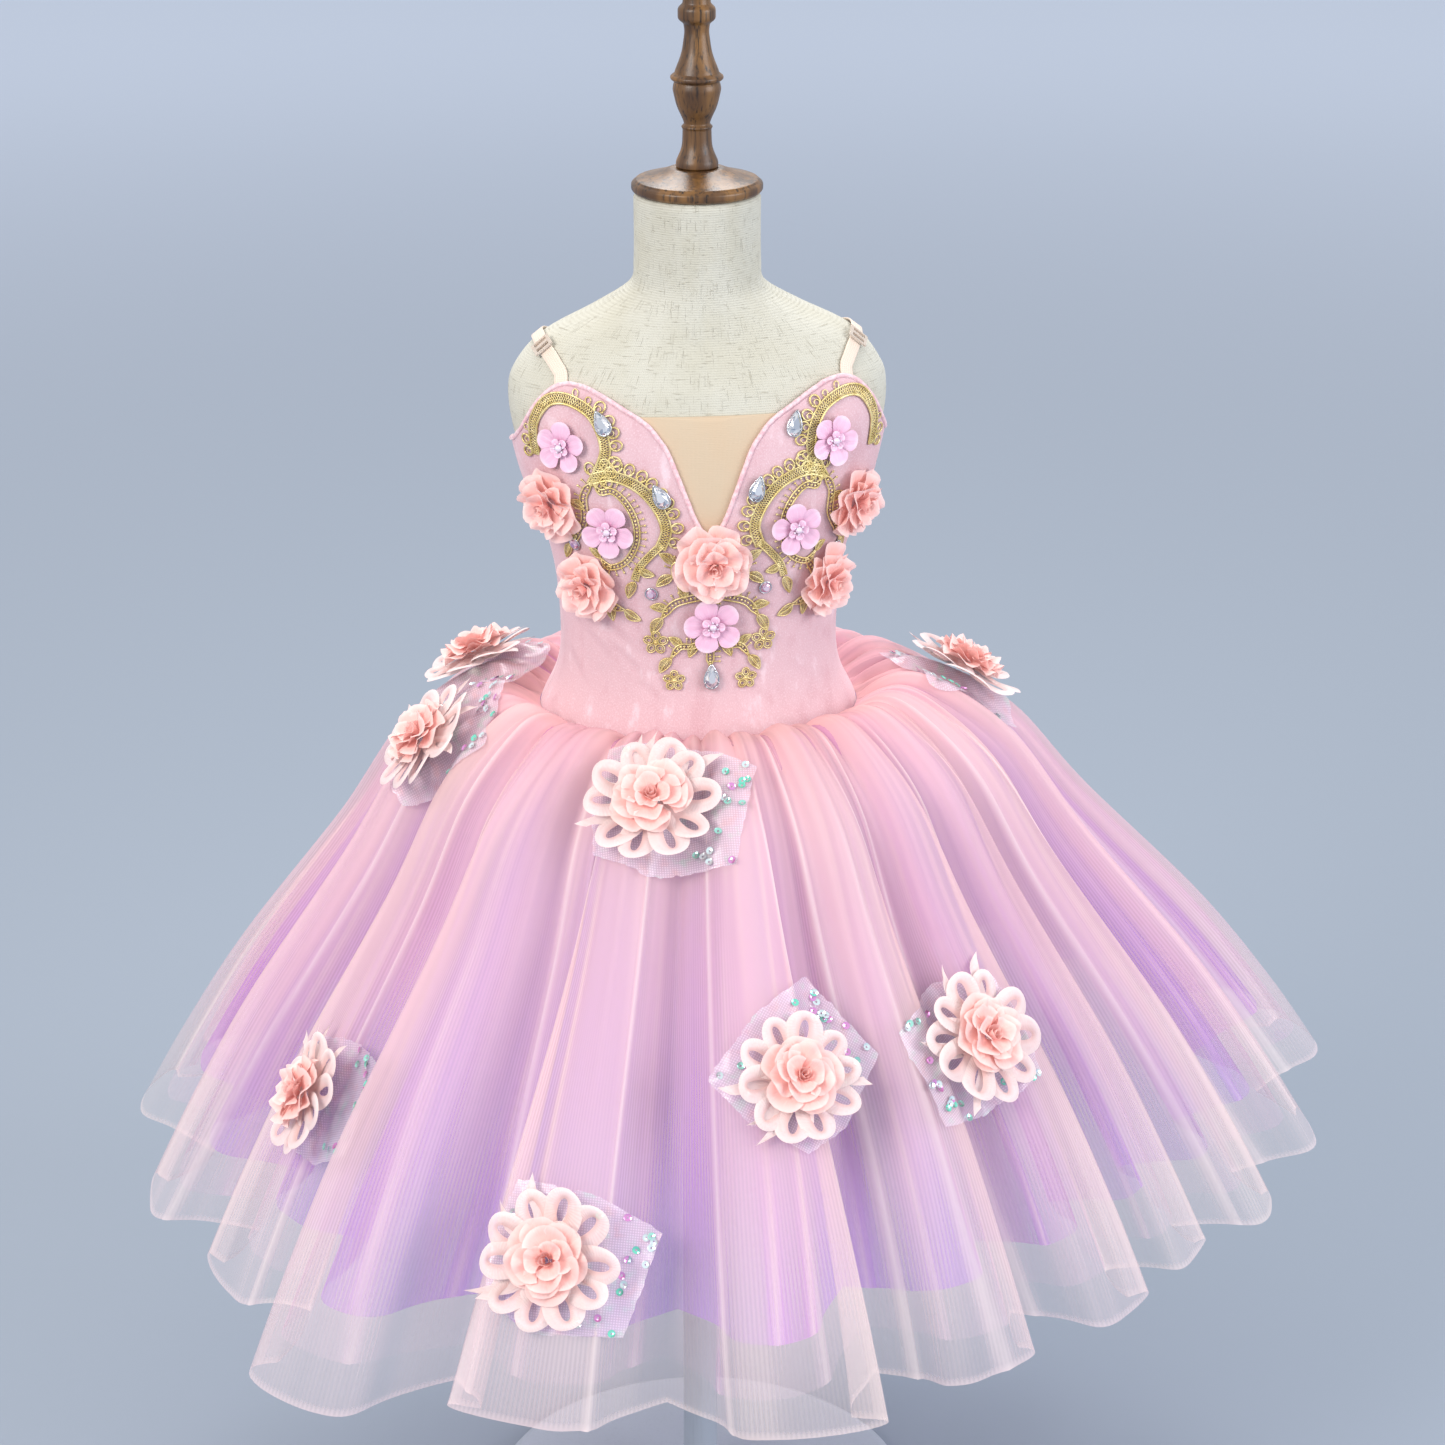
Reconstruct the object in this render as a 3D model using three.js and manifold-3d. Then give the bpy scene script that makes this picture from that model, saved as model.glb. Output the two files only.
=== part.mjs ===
// Child's ballet dress with a long gathered tulle skirt, standing on a limbless dress form.
// Millimetres, +Z up. The origin is on the floor under the pole. The dress faces -Y.
// "turn" is the angle round the form from the centre front, positive towards +X, in degrees.
import * as THREE from 'three';
import { mergeVertices } from 'three/addons/utils/BufferGeometryUtils.js';
import Module from 'manifold-3d';

const wasm = await Module();
wasm.setup();

// Driving sizes
const seamGap = 0.3;            // clearance between pieces that are sewn or laid on each other
const seamUp = 647;             // height of the seam between the bodice and the skirt
const formBottomUp = 560;
const neckTopUp = 1000;
const insertOff = 0.4;          // clearance from the form to the mesh insert
const insertThick = 0.9;
const bodiceOff = 1.7;          // clearance from the form to the velvet
const bodiceThick = 1.5;
const bodiceBottomUp = 638;     // the velvet runs on a little way inside the skirt
const bindingRadius = 1.3;
const bindingOff = 3.1;         // the bindings roll a little outward of the velvet
const strapWidth = 9.3;
const strapThick = 1.2;
const laceThick = 1.1;
const laceGap = 0.6;
const laceTrimGap = 0.4;        // clearance from a sewn-on trim to the lace under it
const velvetTrimGap = 0.2;      // and to the velvet, whose facets lie a little lower
const tulleThick = 1.3;
const scrapThick = 1;
const scrapGap = 0.5;           // clearance from an organza scrap to the folds that it spans
const baseRadius = 155;
const poleRadius = 12.5;

const radians = THREE.MathUtils.degToRad;
const lerp = THREE.MathUtils.lerp;
const weld = 1e-4;

// Dress form, a row for each level section
const formSections = [
  { up: 560, halfWidth: 108.0, halfDepth: 83.0, square: 2.2 },
  { up: 600, halfWidth: 110.0, halfDepth: 85.0, square: 2.2 },
  { up: 647, halfWidth: 105.5, halfDepth: 80.0, square: 2.2 },
  { up: 670, halfWidth: 95.0, halfDepth: 74.0, square: 2.25 },
  { up: 690, halfWidth: 91.0, halfDepth: 71.0, square: 2.3 },
  { up: 720, halfWidth: 91.5, halfDepth: 71.5, square: 2.3 },
  { up: 745, halfWidth: 94.0, halfDepth: 73.5, square: 2.3 },
  { up: 768, halfWidth: 99.0, halfDepth: 75.0, square: 2.3 },
  { up: 790, halfWidth: 107.0, halfDepth: 76.0, square: 2.3 },
  { up: 814, halfWidth: 116.0, halfDepth: 75.0, square: 2.3 },
  { up: 838, halfWidth: 122.0, halfDepth: 72.5, square: 2.3 },
  { up: 860, halfWidth: 126.0, halfDepth: 69.0, square: 2.3 },
  { up: 880, halfWidth: 125.0, halfDepth: 63.5, square: 2.2 },
  { up: 897, halfWidth: 115.0, halfDepth: 56.0, square: 2.1 },
  { up: 910, halfWidth: 100.0, halfDepth: 50.0, square: 2.0 },
  { up: 926, halfWidth: 68.0, halfDepth: 45.5, square: 2.0 },
  { up: 940, halfWidth: 45.0, halfDepth: 43.0, square: 2.0 },
  { up: 955, halfWidth: 42.0, halfDepth: 42.0, square: 2.0 },
  { up: 1000, halfWidth: 41.75, halfDepth: 41.75, square: 2.0 },
];

// Top edge of the velvet front from the centre of the V to the side seam, one half of it
const frontEdge = [
  { turn: 0, up: 788 },
  { turn: 4, up: 790 },
  { turn: 8, up: 799 },
  { turn: 12, up: 813 },
  { turn: 17, up: 830 },
  { turn: 22, up: 846 },
  { turn: 30, up: 860 },
  { turn: 35.5, up: 865.5 },
  { turn: 41, up: 870 },
  { turn: 50, up: 878 },
  { turn: 57, up: 883 },
  { turn: 63.5, up: 884.7 },
  { turn: 67.5, up: 881 },
  { turn: 70.5, up: 870 },
  { turn: 74.5, up: 854 },
  { turn: 81, up: 843 },
  { turn: 90, up: 837 },
];

// Top edge of the velvet back from the side seam to the centre back, one half of it
const backEdge = [
  { turn: 90, up: 837 },
  { turn: 98, up: 833 },
  { turn: 106, up: 828 },
  { turn: 114, up: 822 },
  { turn: 122, up: 817 },
  { turn: 130, up: 812.5 },
  { turn: 138, up: 808.5 },
  { turn: 147, up: 805 },
  { turn: 157, up: 802 },
  { turn: 168, up: 800.5 },
  { turn: 180, up: 800 },
];

// Profile of a skirt panel from the waist seam to the hem, as shares of its reach and its drop.
// fold is the share of the full fold depth that has opened there, gather the size of the fine
// gathers in millimetres, and nest how far the layers have come apart.
const panelRows = [
  { out: 0.00, down: 0.00, fold: 0.00, gather: 0.0, nest: 0.00, inner: true },
  { out: 0.09, down: -0.045, fold: 0.10, gather: 1.4, nest: 0.10, inner: true },
  { out: 0.19, down: -0.015, fold: 0.20, gather: 1.2, nest: 0.22, inner: false },
  { out: 0.33, down: 0.09, fold: 0.34, gather: 0.6, nest: 0.40, inner: true },
  { out: 0.48, down: 0.29, fold: 0.52, gather: 0.0, nest: 0.60, inner: false },
  { out: 0.73, down: 0.59, fold: 0.78, gather: 0.0, nest: 0.80, inner: true },
  { out: 0.89, down: 0.82, fold: 0.92, gather: 0.0, nest: 0.92, inner: false },
  { out: 1.00, down: 1.00, fold: 1.00, gather: 0.0, nest: 1.00, inner: true },
];

// Folds of the skirt in order round the waist: where the crest lies, how far its hem reaches from
// the axis, how high that hem hangs, and how deep the fold is there
const folds = [
  { turn: -180, reach: 412, hem: 300, deep: 50 },
  { turn: -162, reach: 405, hem: 296, deep: 54 },
  { turn: -144, reach: 416, hem: 300, deep: 50 },
  { turn: -125, reach: 426, hem: 304, deep: 56 },
  { turn: -106, reach: 420, hem: 300, deep: 52 },
  { turn: -86, reach: 396, hem: 292, deep: 58 },
  { turn: -66, reach: 370, hem: 290, deep: 54 },
  { turn: -44, reach: 428, hem: 297, deep: 62 },
  { turn: -21, reach: 390, hem: 299, deep: 50 },
  { turn: 2, reach: 396, hem: 298, deep: 56 },
  { turn: 26, reach: 370, hem: 300, deep: 58 },
  { turn: 43, reach: 370, hem: 300, deep: 48 },
  { turn: 58, reach: 378, hem: 298, deep: 46 },
  { turn: 71, reach: 412, hem: 294, deep: 46 },
  { turn: 84, reach: 446, hem: 303, deep: 44 },
  { turn: 98, reach: 480, hem: 326, deep: 54 },
  { turn: 114, reach: 444, hem: 316, deep: 56 },
  { turn: 131, reach: 424, hem: 306, deep: 52 },
  { turn: 148, reach: 410, hem: 300, deep: 54 },
  { turn: 164, reach: 404, hem: 298, deep: 46 },
];
const foldCount = folds.length;
const backSeamFold = 4.5;       // side seams of the skirt lie in the hollows beside these folds
const frontSeamFold = 15.5;
const foldSteps = [0.1, 0.3, 0.5, 0.7, 0.9];
const crestBreadth = 0.6;       // under 1 gives broad crests and narrow hollows
const foldSwell = 0.05;         // sideways bulge of a fold, as a share of its pitch

// Skirt layers from the outside in: how far each lies inside the outer one at the waist and at
// the hem, and where its hem is cut as a share of the outer panel
const skirtLayers = [
  { name: 'outer', atWaist: 0.0, atHem: 0, cut: 1.00, colour: 0xf6b9c6 },
  { name: 'middle', atWaist: 2.0, atHem: 12, cut: 0.94, colour: 0xf3b4c8 },
  { name: 'lilac', atWaist: 4.0, atHem: 24, cut: 0.89, colour: 0xd9b3e6 },
];

// Sewn-on flowers of the skirt: place round the form, share of the way down the panel profile,
// turn of the flower in its own plane, and size
const skirtFlowers = [
  { turn: -16, along: 0.37, spin: 10, size: 1.0 },
  { turn: -83, along: 0.38, spin: 70, size: 0.95 },
  { turn: -62, along: 0.73, spin: 30, size: 0.95 },
  { turn: -22, along: 0.80, spin: 0, size: 1.02 },
  { turn: 7, along: 0.65, spin: 50, size: 0.95 },
  { turn: 37, along: 0.66, spin: 200, size: 1.02 },
  { turn: 98, along: 0.32, spin: 120, size: 0.95 },
  { turn: -110, along: 0.24, spin: 20, size: 0.92 },
  { turn: 142, along: 0.74, spin: 80, size: 1.0 },
  { turn: 178, along: 0.40, spin: 150, size: 1.0 },
  { turn: -140, along: 0.78, spin: 260, size: 0.95 },
];

// Trims of the bodice: place round the form, height, size across, turn in its own plane and
// what it is sewn on
const rosettes = [
  { turn: -66, up: 806, size: 48, spin: 0, on: 'velvet' },
  { turn: -55, up: 751, size: 46, spin: 40, on: 'lace' },
  { turn: 1, up: 771, size: 51, spin: 20, on: 'lace' },
  { turn: 56, up: 749, size: 47, spin: 80, on: 'lace' },
  { turn: 65, up: 801, size: 47, spin: 120, on: 'velvet' },
];
const satinFlowers = [
  { turn: -61, up: 846, size: 27, spin: 12, on: 'velvet' },
  { turn: -45, up: 792, size: 29, spin: -14, on: 'velvet' },
  { turn: 39, up: 791, size: 29, spin: 30, on: 'lace' },
  { turn: 54, up: 847, size: 27, spin: -8, on: 'lace' },
  { turn: 1, up: 727, size: 35, spin: 36, on: 'lace' },
];
const dropStones = [
  { turn: -48.5, up: 863, spin: 28, on: 'lace' },
  { turn: -24, up: 817, spin: 30, on: 'lace' },
  { turn: 41, up: 860, spin: -14, on: 'velvet' },
  { turn: 22.5, up: 820, spin: -16, on: 'lace' },
  { turn: 0.5, up: 690, spin: 0, on: 'lace' },
];

// Colours and surfaces
const linen = { color: 0xe6e1d3, roughness: 0.9, metalness: 0 };
const wood = { color: 0x4a2f20, roughness: 0.45, metalness: 0 };
const velvet = { color: 0xf3c3c9, roughness: 0.85, metalness: 0 };
const nudeMesh = { color: 0xf0d3b0, roughness: 0.8, metalness: 0 };
const nudeElastic = { color: 0xe9d6c4, roughness: 0.6, metalness: 0 };
const goldCord = { color: 0xc9a640, roughness: 0.4, metalness: 0.6 };
const coralChiffon = { color: 0xffa99b, roughness: 0.8, metalness: 0 };
const orchidSatin = { color: 0xe9a9e0, roughness: 0.5, metalness: 0 };
const cutGlass = { color: 0xdfe9f2, roughness: 0.1, metalness: 0.2 };
const paleRibbon = { color: 0xfbd9d2, roughness: 0.7, metalness: 0 };
const organza = { color: 0xf4cfe0, roughness: 0.4, metalness: 0 };

const dress = new THREE.Group();

function addPiece(name, geometry, look) {
  geometry.computeVertexNormals();
  const piece = new THREE.Mesh(geometry, new THREE.MeshStandardMaterial(look));
  piece.name = name;
  dress.add(piece);
  return piece;
}

function closedGeometry(points, faces) {
  let volume = 0;
  for (const [a, b, c] of faces) {
    volume += points[a].dot(new THREE.Vector3().crossVectors(points[b], points[c]));
  }
  const turned = volume < 0 ? faces.map(([a, b, c]) => [a, c, b]) : faces;
  const geometry = new THREE.BufferGeometry();
  geometry.setAttribute('position', new THREE.Float32BufferAttribute(
    points.flatMap((p) => [p.x, p.y, p.z]), 3));
  geometry.setIndex(turned.flat());
  return geometry;
}

// Catmull-Rom value between rows b and c of a table
function smoothBetween(a, b, c, d, share) {
  const s2 = share * share;
  const s3 = s2 * share;
  return 0.5 * (2 * b + (c - a) * share + (2 * a - 5 * b + 4 * c - d) * s2
    + (3 * b - a - 3 * c + d) * s3);
}

function sectionAt(up) {
  const last = formSections.length - 1;
  let k = 0;
  while (k < last - 1 && formSections[k + 1].up < up) k += 1;
  const rows = [Math.max(k - 1, 0), k, k + 1, Math.min(k + 2, last)].map((i) => formSections[i]);
  const share = THREE.MathUtils.clamp((up - rows[1].up) / (rows[2].up - rows[1].up), 0, 1);
  const column = (name) => smoothBetween(...rows.map((row) => row[name]), share);
  return { halfWidth: column('halfWidth'), halfDepth: column('halfDepth'), square: column('square') };
}

function formSkin(turn, up) {
  const { halfWidth, halfDepth, square } = sectionAt(up);
  const sin = Math.sin(radians(turn));
  const cos = Math.cos(radians(turn));
  const across = (Math.abs(sin) / halfWidth) ** square;
  const deep = (Math.abs(cos) / halfDepth) ** square;
  const radius = (across + deep) ** (-1 / square);
  return new THREE.Vector3(radius * sin, -radius * cos, up);
}

// Frame on the form's surface: at the point, side towards +turn, rise up the cloth, and out
function formFrame(turn, up, off = 0) {
  const side = formSkin(turn + 1, up).sub(formSkin(turn - 1, up)).normalize();
  const climb = formSkin(turn, up + 2).sub(formSkin(turn, up - 2)).normalize();
  const out = new THREE.Vector3().crossVectors(side, climb).normalize();
  const rise = new THREE.Vector3().crossVectors(out, side).normalize();
  const at = formSkin(turn, up).addScaledVector(out, off);
  return { at, side, rise, out };
}

function onForm(turn, up, off = 0) {
  return formFrame(turn, up, off).at;
}

// Wall between two grids of points, outer[column][row] and inner[column][row]
function wallGeometry(outer, inner) {
  const columns = outer.length;
  const rows = outer[0].length;
  const points = [...outer.flat(), ...inner.flat()];
  const face = (i, j) => i * rows + j;
  const back = (i, j) => columns * rows + i * rows + j;
  const faces = [];
  for (let i = 0; i < columns - 1; i += 1) {
    for (let j = 0; j < rows - 1; j += 1) {
      faces.push([face(i, j), face(i + 1, j), face(i + 1, j + 1)]);
      faces.push([face(i, j), face(i + 1, j + 1), face(i, j + 1)]);
      faces.push([back(i, j), back(i + 1, j + 1), back(i + 1, j)]);
      faces.push([back(i, j), back(i, j + 1), back(i + 1, j + 1)]);
    }
  }
  const closeRim = (ring, inside) => {
    for (let k = 0; k < ring.length - 1; k += 1) {
      faces.push([ring[k], inside[k], inside[k + 1]]);
      faces.push([ring[k], inside[k + 1], ring[k + 1]]);
    }
  };
  const across = [...Array(columns).keys()];
  const along = [...Array(rows).keys()];
  closeRim(across.map((i) => face(i, 0)), across.map((i) => back(i, 0)));
  closeRim(across.map((i) => face(i, rows - 1)).reverse(),
    across.map((i) => back(i, rows - 1)).reverse());
  closeRim(along.map((j) => face(0, j)).reverse(), along.map((j) => back(0, j)).reverse());
  closeRim(along.map((j) => face(columns - 1, j)), along.map((j) => back(columns - 1, j)));
  return closedGeometry(points, faces);
}

// Solid through closed rings of points, its ends closed by fans on a middle point
function loftGeometry(rings, startMiddle, endMiddle) {
  const around = rings[0].length;
  const points = [...rings.flat(), startMiddle, endMiddle];
  const start = points.length - 2;
  const end = points.length - 1;
  const faces = [];
  for (let k = 0; k < rings.length - 1; k += 1) {
    for (let i = 0; i < around; i += 1) {
      const next = (i + 1) % around;
      faces.push([k * around + i, k * around + next, (k + 1) * around + next]);
      faces.push([k * around + i, (k + 1) * around + next, (k + 1) * around + i]);
    }
  }
  const lastRing = (rings.length - 1) * around;
  for (let i = 0; i < around; i += 1) {
    const next = (i + 1) % around;
    faces.push([start, next, i]);
    faces.push([end, lastRing + i, lastRing + next]);
  }
  return closedGeometry(points, faces);
}

function middleOf(ring) {
  const sum = ring.reduce((total, p) => total.add(p), new THREE.Vector3());
  return sum.divideScalar(ring.length);
}

// Band or cord along a row of frames, with the section given as side and out pairs
function sweepGeometry(frames, section) {
  const rings = frames.map((frame) => section.map(([side, out]) => frame.at.clone()
    .addScaledVector(frame.side, side).addScaledVector(frame.out, out)));
  return loftGeometry(rings, middleOf(rings[0]), middleOf(rings[rings.length - 1]));
}

function roundSection(radius, sides) {
  return [...Array(sides).keys()].map((k) => {
    const angle = (k / sides) * Math.PI * 2;
    return [radius * Math.cos(angle), radius * Math.sin(angle)];
  });
}

function turnedGeometry(profile, around) {
  const outline = profile.map(({ radius, up }) => new THREE.Vector2(radius, up));
  const geometry = new THREE.LatheGeometry(outline, around);
  geometry.rotateX(Math.PI / 2);
  geometry.deleteAttribute('normal');
  geometry.deleteAttribute('uv');
  const merged = mergeVertices(geometry, weld);
  const index = merged.getIndex().array;
  const position = merged.getAttribute('position');
  const points = [...Array(position.count).keys()].map(
    (k) => new THREE.Vector3().fromBufferAttribute(position, k));
  const faces = [];
  for (let k = 0; k < index.length; k += 3) {
    const [a, b, c] = [index[k], index[k + 1], index[k + 2]];
    if (a !== b && b !== c && a !== c) faces.push([a, b, c]);
  }
  return closedGeometry(points, faces);
}

// Stand: round base, pole, covered torso, turned cap and finial

function addStand() {
  const baseEdge = 9;
  const baseTop = 24;
  addPiece('form_base', turnedGeometry([
    { radius: 0, up: 0 },
    { radius: baseRadius - 3, up: 0 },
    { radius: baseRadius, up: 3 },
    { radius: baseRadius, up: baseEdge },
    { radius: baseRadius - 6, up: baseEdge + 4 },
    { radius: 90, up: 18 },
    { radius: 32, up: baseTop },
    { radius: 0, up: baseTop },
  ], 24), wood);
  addPiece('form_pole', turnedGeometry([
    { radius: 0, up: baseTop + seamGap },
    { radius: poleRadius, up: baseTop + seamGap },
    { radius: poleRadius, up: formBottomUp - seamGap },
    { radius: 0, up: formBottomUp - seamGap },
  ], 16), wood);
}

function addTorso() {
  const around = 28;
  const levels = [560, 600, 647, 668, 690, 720, 745, 768, 790, 814, 838, 860, 878, 890, 902, 916,
    930, 942, 956, 1000];
  const rings = levels.map((up) => [...Array(around).keys()].map(
    (k) => formSkin((k / around) * 360, up)));
  addPiece('form_torso', loftGeometry(rings, new THREE.Vector3(0, 0, formBottomUp),
    new THREE.Vector3(0, 0, neckTopUp)), linen);
}

function addCapAndFinial() {
  const capUp = neckTopUp + seamGap;
  const capTop = capUp + 16;
  addPiece('form_cap', turnedGeometry([
    { radius: 0, up: capUp },
    { radius: 41, up: capUp },
    { radius: 43.2, up: capUp + 2 },
    { radius: 43.2, up: capUp + 6 },
    { radius: 41.5, up: capUp + 7.5 },
    { radius: 34, up: capUp + 10 },
    { radius: 24, up: capUp + 13.5 },
    { radius: 16, up: capTop },
    { radius: 0, up: capTop },
  ], 24), wood);
  const foot = capTop + seamGap;
  const finialRows = [
    { radius: 0, rise: 0 },
    { radius: 14, rise: 0 },
    { radius: 13.6, rise: 4 },
    { radius: 9.8, rise: 15 },
    { radius: 9.8, rise: 26 },
    { radius: 8.4, rise: 28 },
    { radius: 12.5, rise: 37 },
    { radius: 15.8, rise: 52 },
    { radius: 15, rise: 55 },
    { radius: 17.2, rise: 58.5 },
    { radius: 15, rise: 62 },
    { radius: 9.6, rise: 74 },
    { radius: 7.8, rise: 92 },
    { radius: 12.2, rise: 97 },
    { radius: 12.2, rise: 102 },
    { radius: 9, rise: 107 },
    { radius: 9, rise: 120 },
    { radius: 14.5, rise: 130 },
    { radius: 15.5, rise: 138 },
    { radius: 12, rise: 147 },
    { radius: 5, rise: 152 },
    { radius: 0, rise: 153 },
  ];
  addPiece('form_finial', turnedGeometry(
    finialRows.map(({ radius, rise }) => ({ radius, up: foot + rise })), 14), wood);
}

// Bodice: velvet front and back, mesh insert, bindings, straps

function edgeUp(edge, turn) {
  const angle = Math.abs(turn);
  const k = Math.max(edge.findIndex((row) => row.turn >= angle), 1);
  const share = (angle - edge[k - 1].turn) / (edge[k].turn - edge[k - 1].turn);
  return lerp(edge[k - 1].up, edge[k].up, share);
}

// Level rows of a bodice panel as shares of its height, closer together over the bust
const bodiceRows = [0, 0.05, 0.15, 0.28, 0.42, 0.57, 0.71, 0.83, 0.93, 1];
const backRows = [0, 0.05, 0.18, 0.32, 0.48, 0.64, 0.8, 0.91, 1];

function clothWall(turns, bottomOf, topOf, rowShares, off, thick) {
  const grid = (distance) => turns.map((turn) => rowShares.map((share) => {
    const up = lerp(bottomOf(turn), topOf(turn), share);
    return onForm(turn, up, distance);
  }));
  return wallGeometry(grid(off + thick), grid(off));
}

function mirroredTurns(edge) {
  const right = edge.map((row) => row.turn);
  return [...right.slice(1).reverse().map((turn) => -turn), ...right];
}

// Columns of a front or back piece, its two outer ones drawn in by shy to clear the side seams
function drawnIn(turns, shy) {
  return turns.map((turn, k) => {
    if (k === 0) return turn + shy;
    return k === turns.length - 1 ? turn - shy : turn;
  });
}

function frontTurns(shy) {
  return drawnIn(mirroredTurns(frontEdge), shy);
}

function backTurns(shy) {
  const right = backEdge.map((row) => row.turn);
  const left = right.slice(0, -1).reverse().map((turn) => 360 - turn);
  return drawnIn([...right, ...left], shy);
}

function frontTop(turn) {
  return edgeUp(frontEdge, turn);
}

function backTop(turn) {
  return edgeUp(backEdge, turn > 180 ? 360 - turn : turn);
}

function addBodice() {
  const shy = 0.1;              // about 0.2 mm at the side seam
  const bottom = () => bodiceBottomUp;
  addPiece('bodice_front', clothWall(frontTurns(shy), bottom, frontTop, bodiceRows, bodiceOff,
    bodiceThick), velvet);
  addPiece('bodice_back', clothWall(backTurns(shy), bottom, backTop, backRows, bodiceOff,
    bodiceThick), velvet);
}

function addInsert() {
  const insertTopUp = 867;
  const tuck = 9;               // width that runs on under the velvet
  const rows = [0, 0.25, 0.5, 0.75, 1];
  const turns = [-36, -30, -24, -18, -12, -6, 0, 6, 12, 18, 24, 30, 36];
  const bottom = (turn) => Math.min(frontTop(turn), insertTopUp) - tuck;
  addPiece('bodice_insert', clothWall(turns, bottom, () => insertTopUp, rows, insertOff,
    insertThick), nudeMesh);
}

// Frames of a cord that runs just above an edge of the velvet
function edgeFrames(turns, upOf) {
  const edgeGap = 0.45;
  const edge = turns.map((turn) => onForm(turn, upOf(turn), bindingOff));
  return turns.map((turn, k) => {
    const before = edge[Math.max(k - 1, 0)];
    const after = edge[Math.min(k + 1, edge.length - 1)];
    const run = after.clone().sub(before).normalize();
    const { out } = formFrame(turn, upOf(turn));
    const beyond = new THREE.Vector3().crossVectors(out, run).normalize();
    const at = edge[k].clone().addScaledVector(beyond, bindingRadius + edgeGap);
    return { at, side: beyond, out };
  });
}

function addBindings() {
  const section = roundSection(bindingRadius, 6);
  addPiece('binding_front', sweepGeometry(edgeFrames(frontTurns(0.1), frontTop), section), velvet);
  addPiece('binding_back', sweepGeometry(edgeFrames(backTurns(0.6), backTop), section), velvet);
}

// Route of a strap over the shoulder, from the tip of the cup to the back edge
const strapRoute = [
  { turn: 67, up: 889.3 },
  { turn: 69.5, up: 893.5 },
  { turn: 73.5, up: 898.3 },
  { turn: 79.5, up: 903 },
  { turn: 87.5, up: 906.5 },
  { turn: 97, up: 905 },
  { turn: 107, up: 899 },
  { turn: 116, up: 890 },
  { turn: 123, up: 878 },
  { turn: 128, up: 862 },
  { turn: 131, up: 845 },
  { turn: 133, up: 828 },
  { turn: 134, up: 817 },
];

function strapFrames(hand) {
  const strapGap = 1.0;
  const off = strapGap + strapThick / 2;
  const skin = strapRoute.map(({ turn, up }) => formFrame(hand * turn, up, off));
  return skin.map((frame, k) => {
    const before = skin[Math.max(k - 1, 0)].at;
    const after = skin[Math.min(k + 1, skin.length - 1)].at;
    const run = after.clone().sub(before).normalize();
    const side = new THREE.Vector3().crossVectors(frame.out, run).normalize();
    const out = new THREE.Vector3().crossVectors(run, side).normalize();
    return { at: frame.at, side, out, run };
  });
}

function addStrap(name, hand) {
  const sliderStation = 3;
  const frames = strapFrames(hand);
  const w = strapWidth / 2;
  const h = strapThick / 2;
  addPiece(`strap_${name}`, sweepGeometry(frames, [[-w, -h], [w, -h], [w, h], [-w, h]]),
    nudeElastic);
  addSlider(`strap_slider_${name}`, frames[sliderStation]);
}

// Corners of a rectangle round (0, middle)
function rectangle(halfWide, halfTall, middle) {
  return [[-halfWide, -halfTall], [halfWide, -halfTall], [halfWide, halfTall], [-halfWide, halfTall]]
    .map(([x, y]) => new THREE.Vector2(x, y + middle));
}

// Slider of the strap: a flat plate with two windows, lying on the strap
function addSlider(name, frame) {
  const thick = 1.4;
  const plateGap = 0.7;         // the strap bends a little under the flat plate
  const outline = new THREE.Shape(rectangle(7, 5.5, 0));
  for (const middle of [-2.6, 2.6]) {
    outline.holes.push(new THREE.Path(rectangle(4.8, 1.5, middle).reverse()));
  }
  const plate = new THREE.ExtrudeGeometry(outline, { depth: thick, bevelEnabled: false });
  plate.deleteAttribute('normal');
  plate.deleteAttribute('uv');
  const geometry = mergeVertices(plate, weld);
  const place = new THREE.Matrix4()
    .makeBasis(frame.side, frame.run.clone().negate(), frame.out)
    .setPosition(frameCentre(frame, strapThick / 2 + plateGap));
  geometry.applyMatrix4(place);
  addPiece(name, geometry, nudeElastic);
}

// Tulle skirt

// Fold at a place counted in folds from the first row: its crest and hollow eased into the next,
// and the fine gathers standing out on every other column
function foldAt(place) {
  const k = Math.floor(place);
  const share = place - k;
  const here = folds[((k % foldCount) + foldCount) % foldCount];
  const next = folds[(((k + 1) % foldCount) + foldCount) % foldCount];
  const gap = (next.turn - here.turn + 720) % 360;
  const ease = (1 - Math.cos(Math.PI * share)) / 2;
  return {
    turn: here.turn + gap * share,
    pitch: radians(gap),
    reach: lerp(here.reach, next.reach, ease),
    hem: lerp(here.hem, next.hem, ease),
    deep: lerp(here.deep, next.deep, ease),
    crest: ((1 + Math.cos(2 * Math.PI * share)) / 2) ** crestBreadth,
    swell: Math.sin(4 * Math.PI * share),
    gather: Math.round(share * 10) % 4 === 1 ? 1 : -1,
  };
}

// A value of the panel profile at a share of its rows
function panelValue(name, along) {
  const place = THREE.MathUtils.clamp(along, 0, 1) * (panelRows.length - 1);
  const k = Math.min(Math.floor(place), panelRows.length - 2);
  return lerp(panelRows[k][name], panelRows[k + 1][name], place - k);
}

// Point of the even skirt that runs through the crests, before any fold
function skirtEnvelope(fold, along) {
  const waistGap = 0.4;
  const seam = formFrame(fold.turn, seamUp, bodiceOff + bodiceThick + waistGap).at;
  const start = Math.hypot(seam.x, seam.y);
  const radius = lerp(start, fold.reach, panelValue('out', along));
  const up = lerp(seamUp, fold.hem, panelValue('down', along));
  return new THREE.Vector2(radius, up);
}

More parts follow.
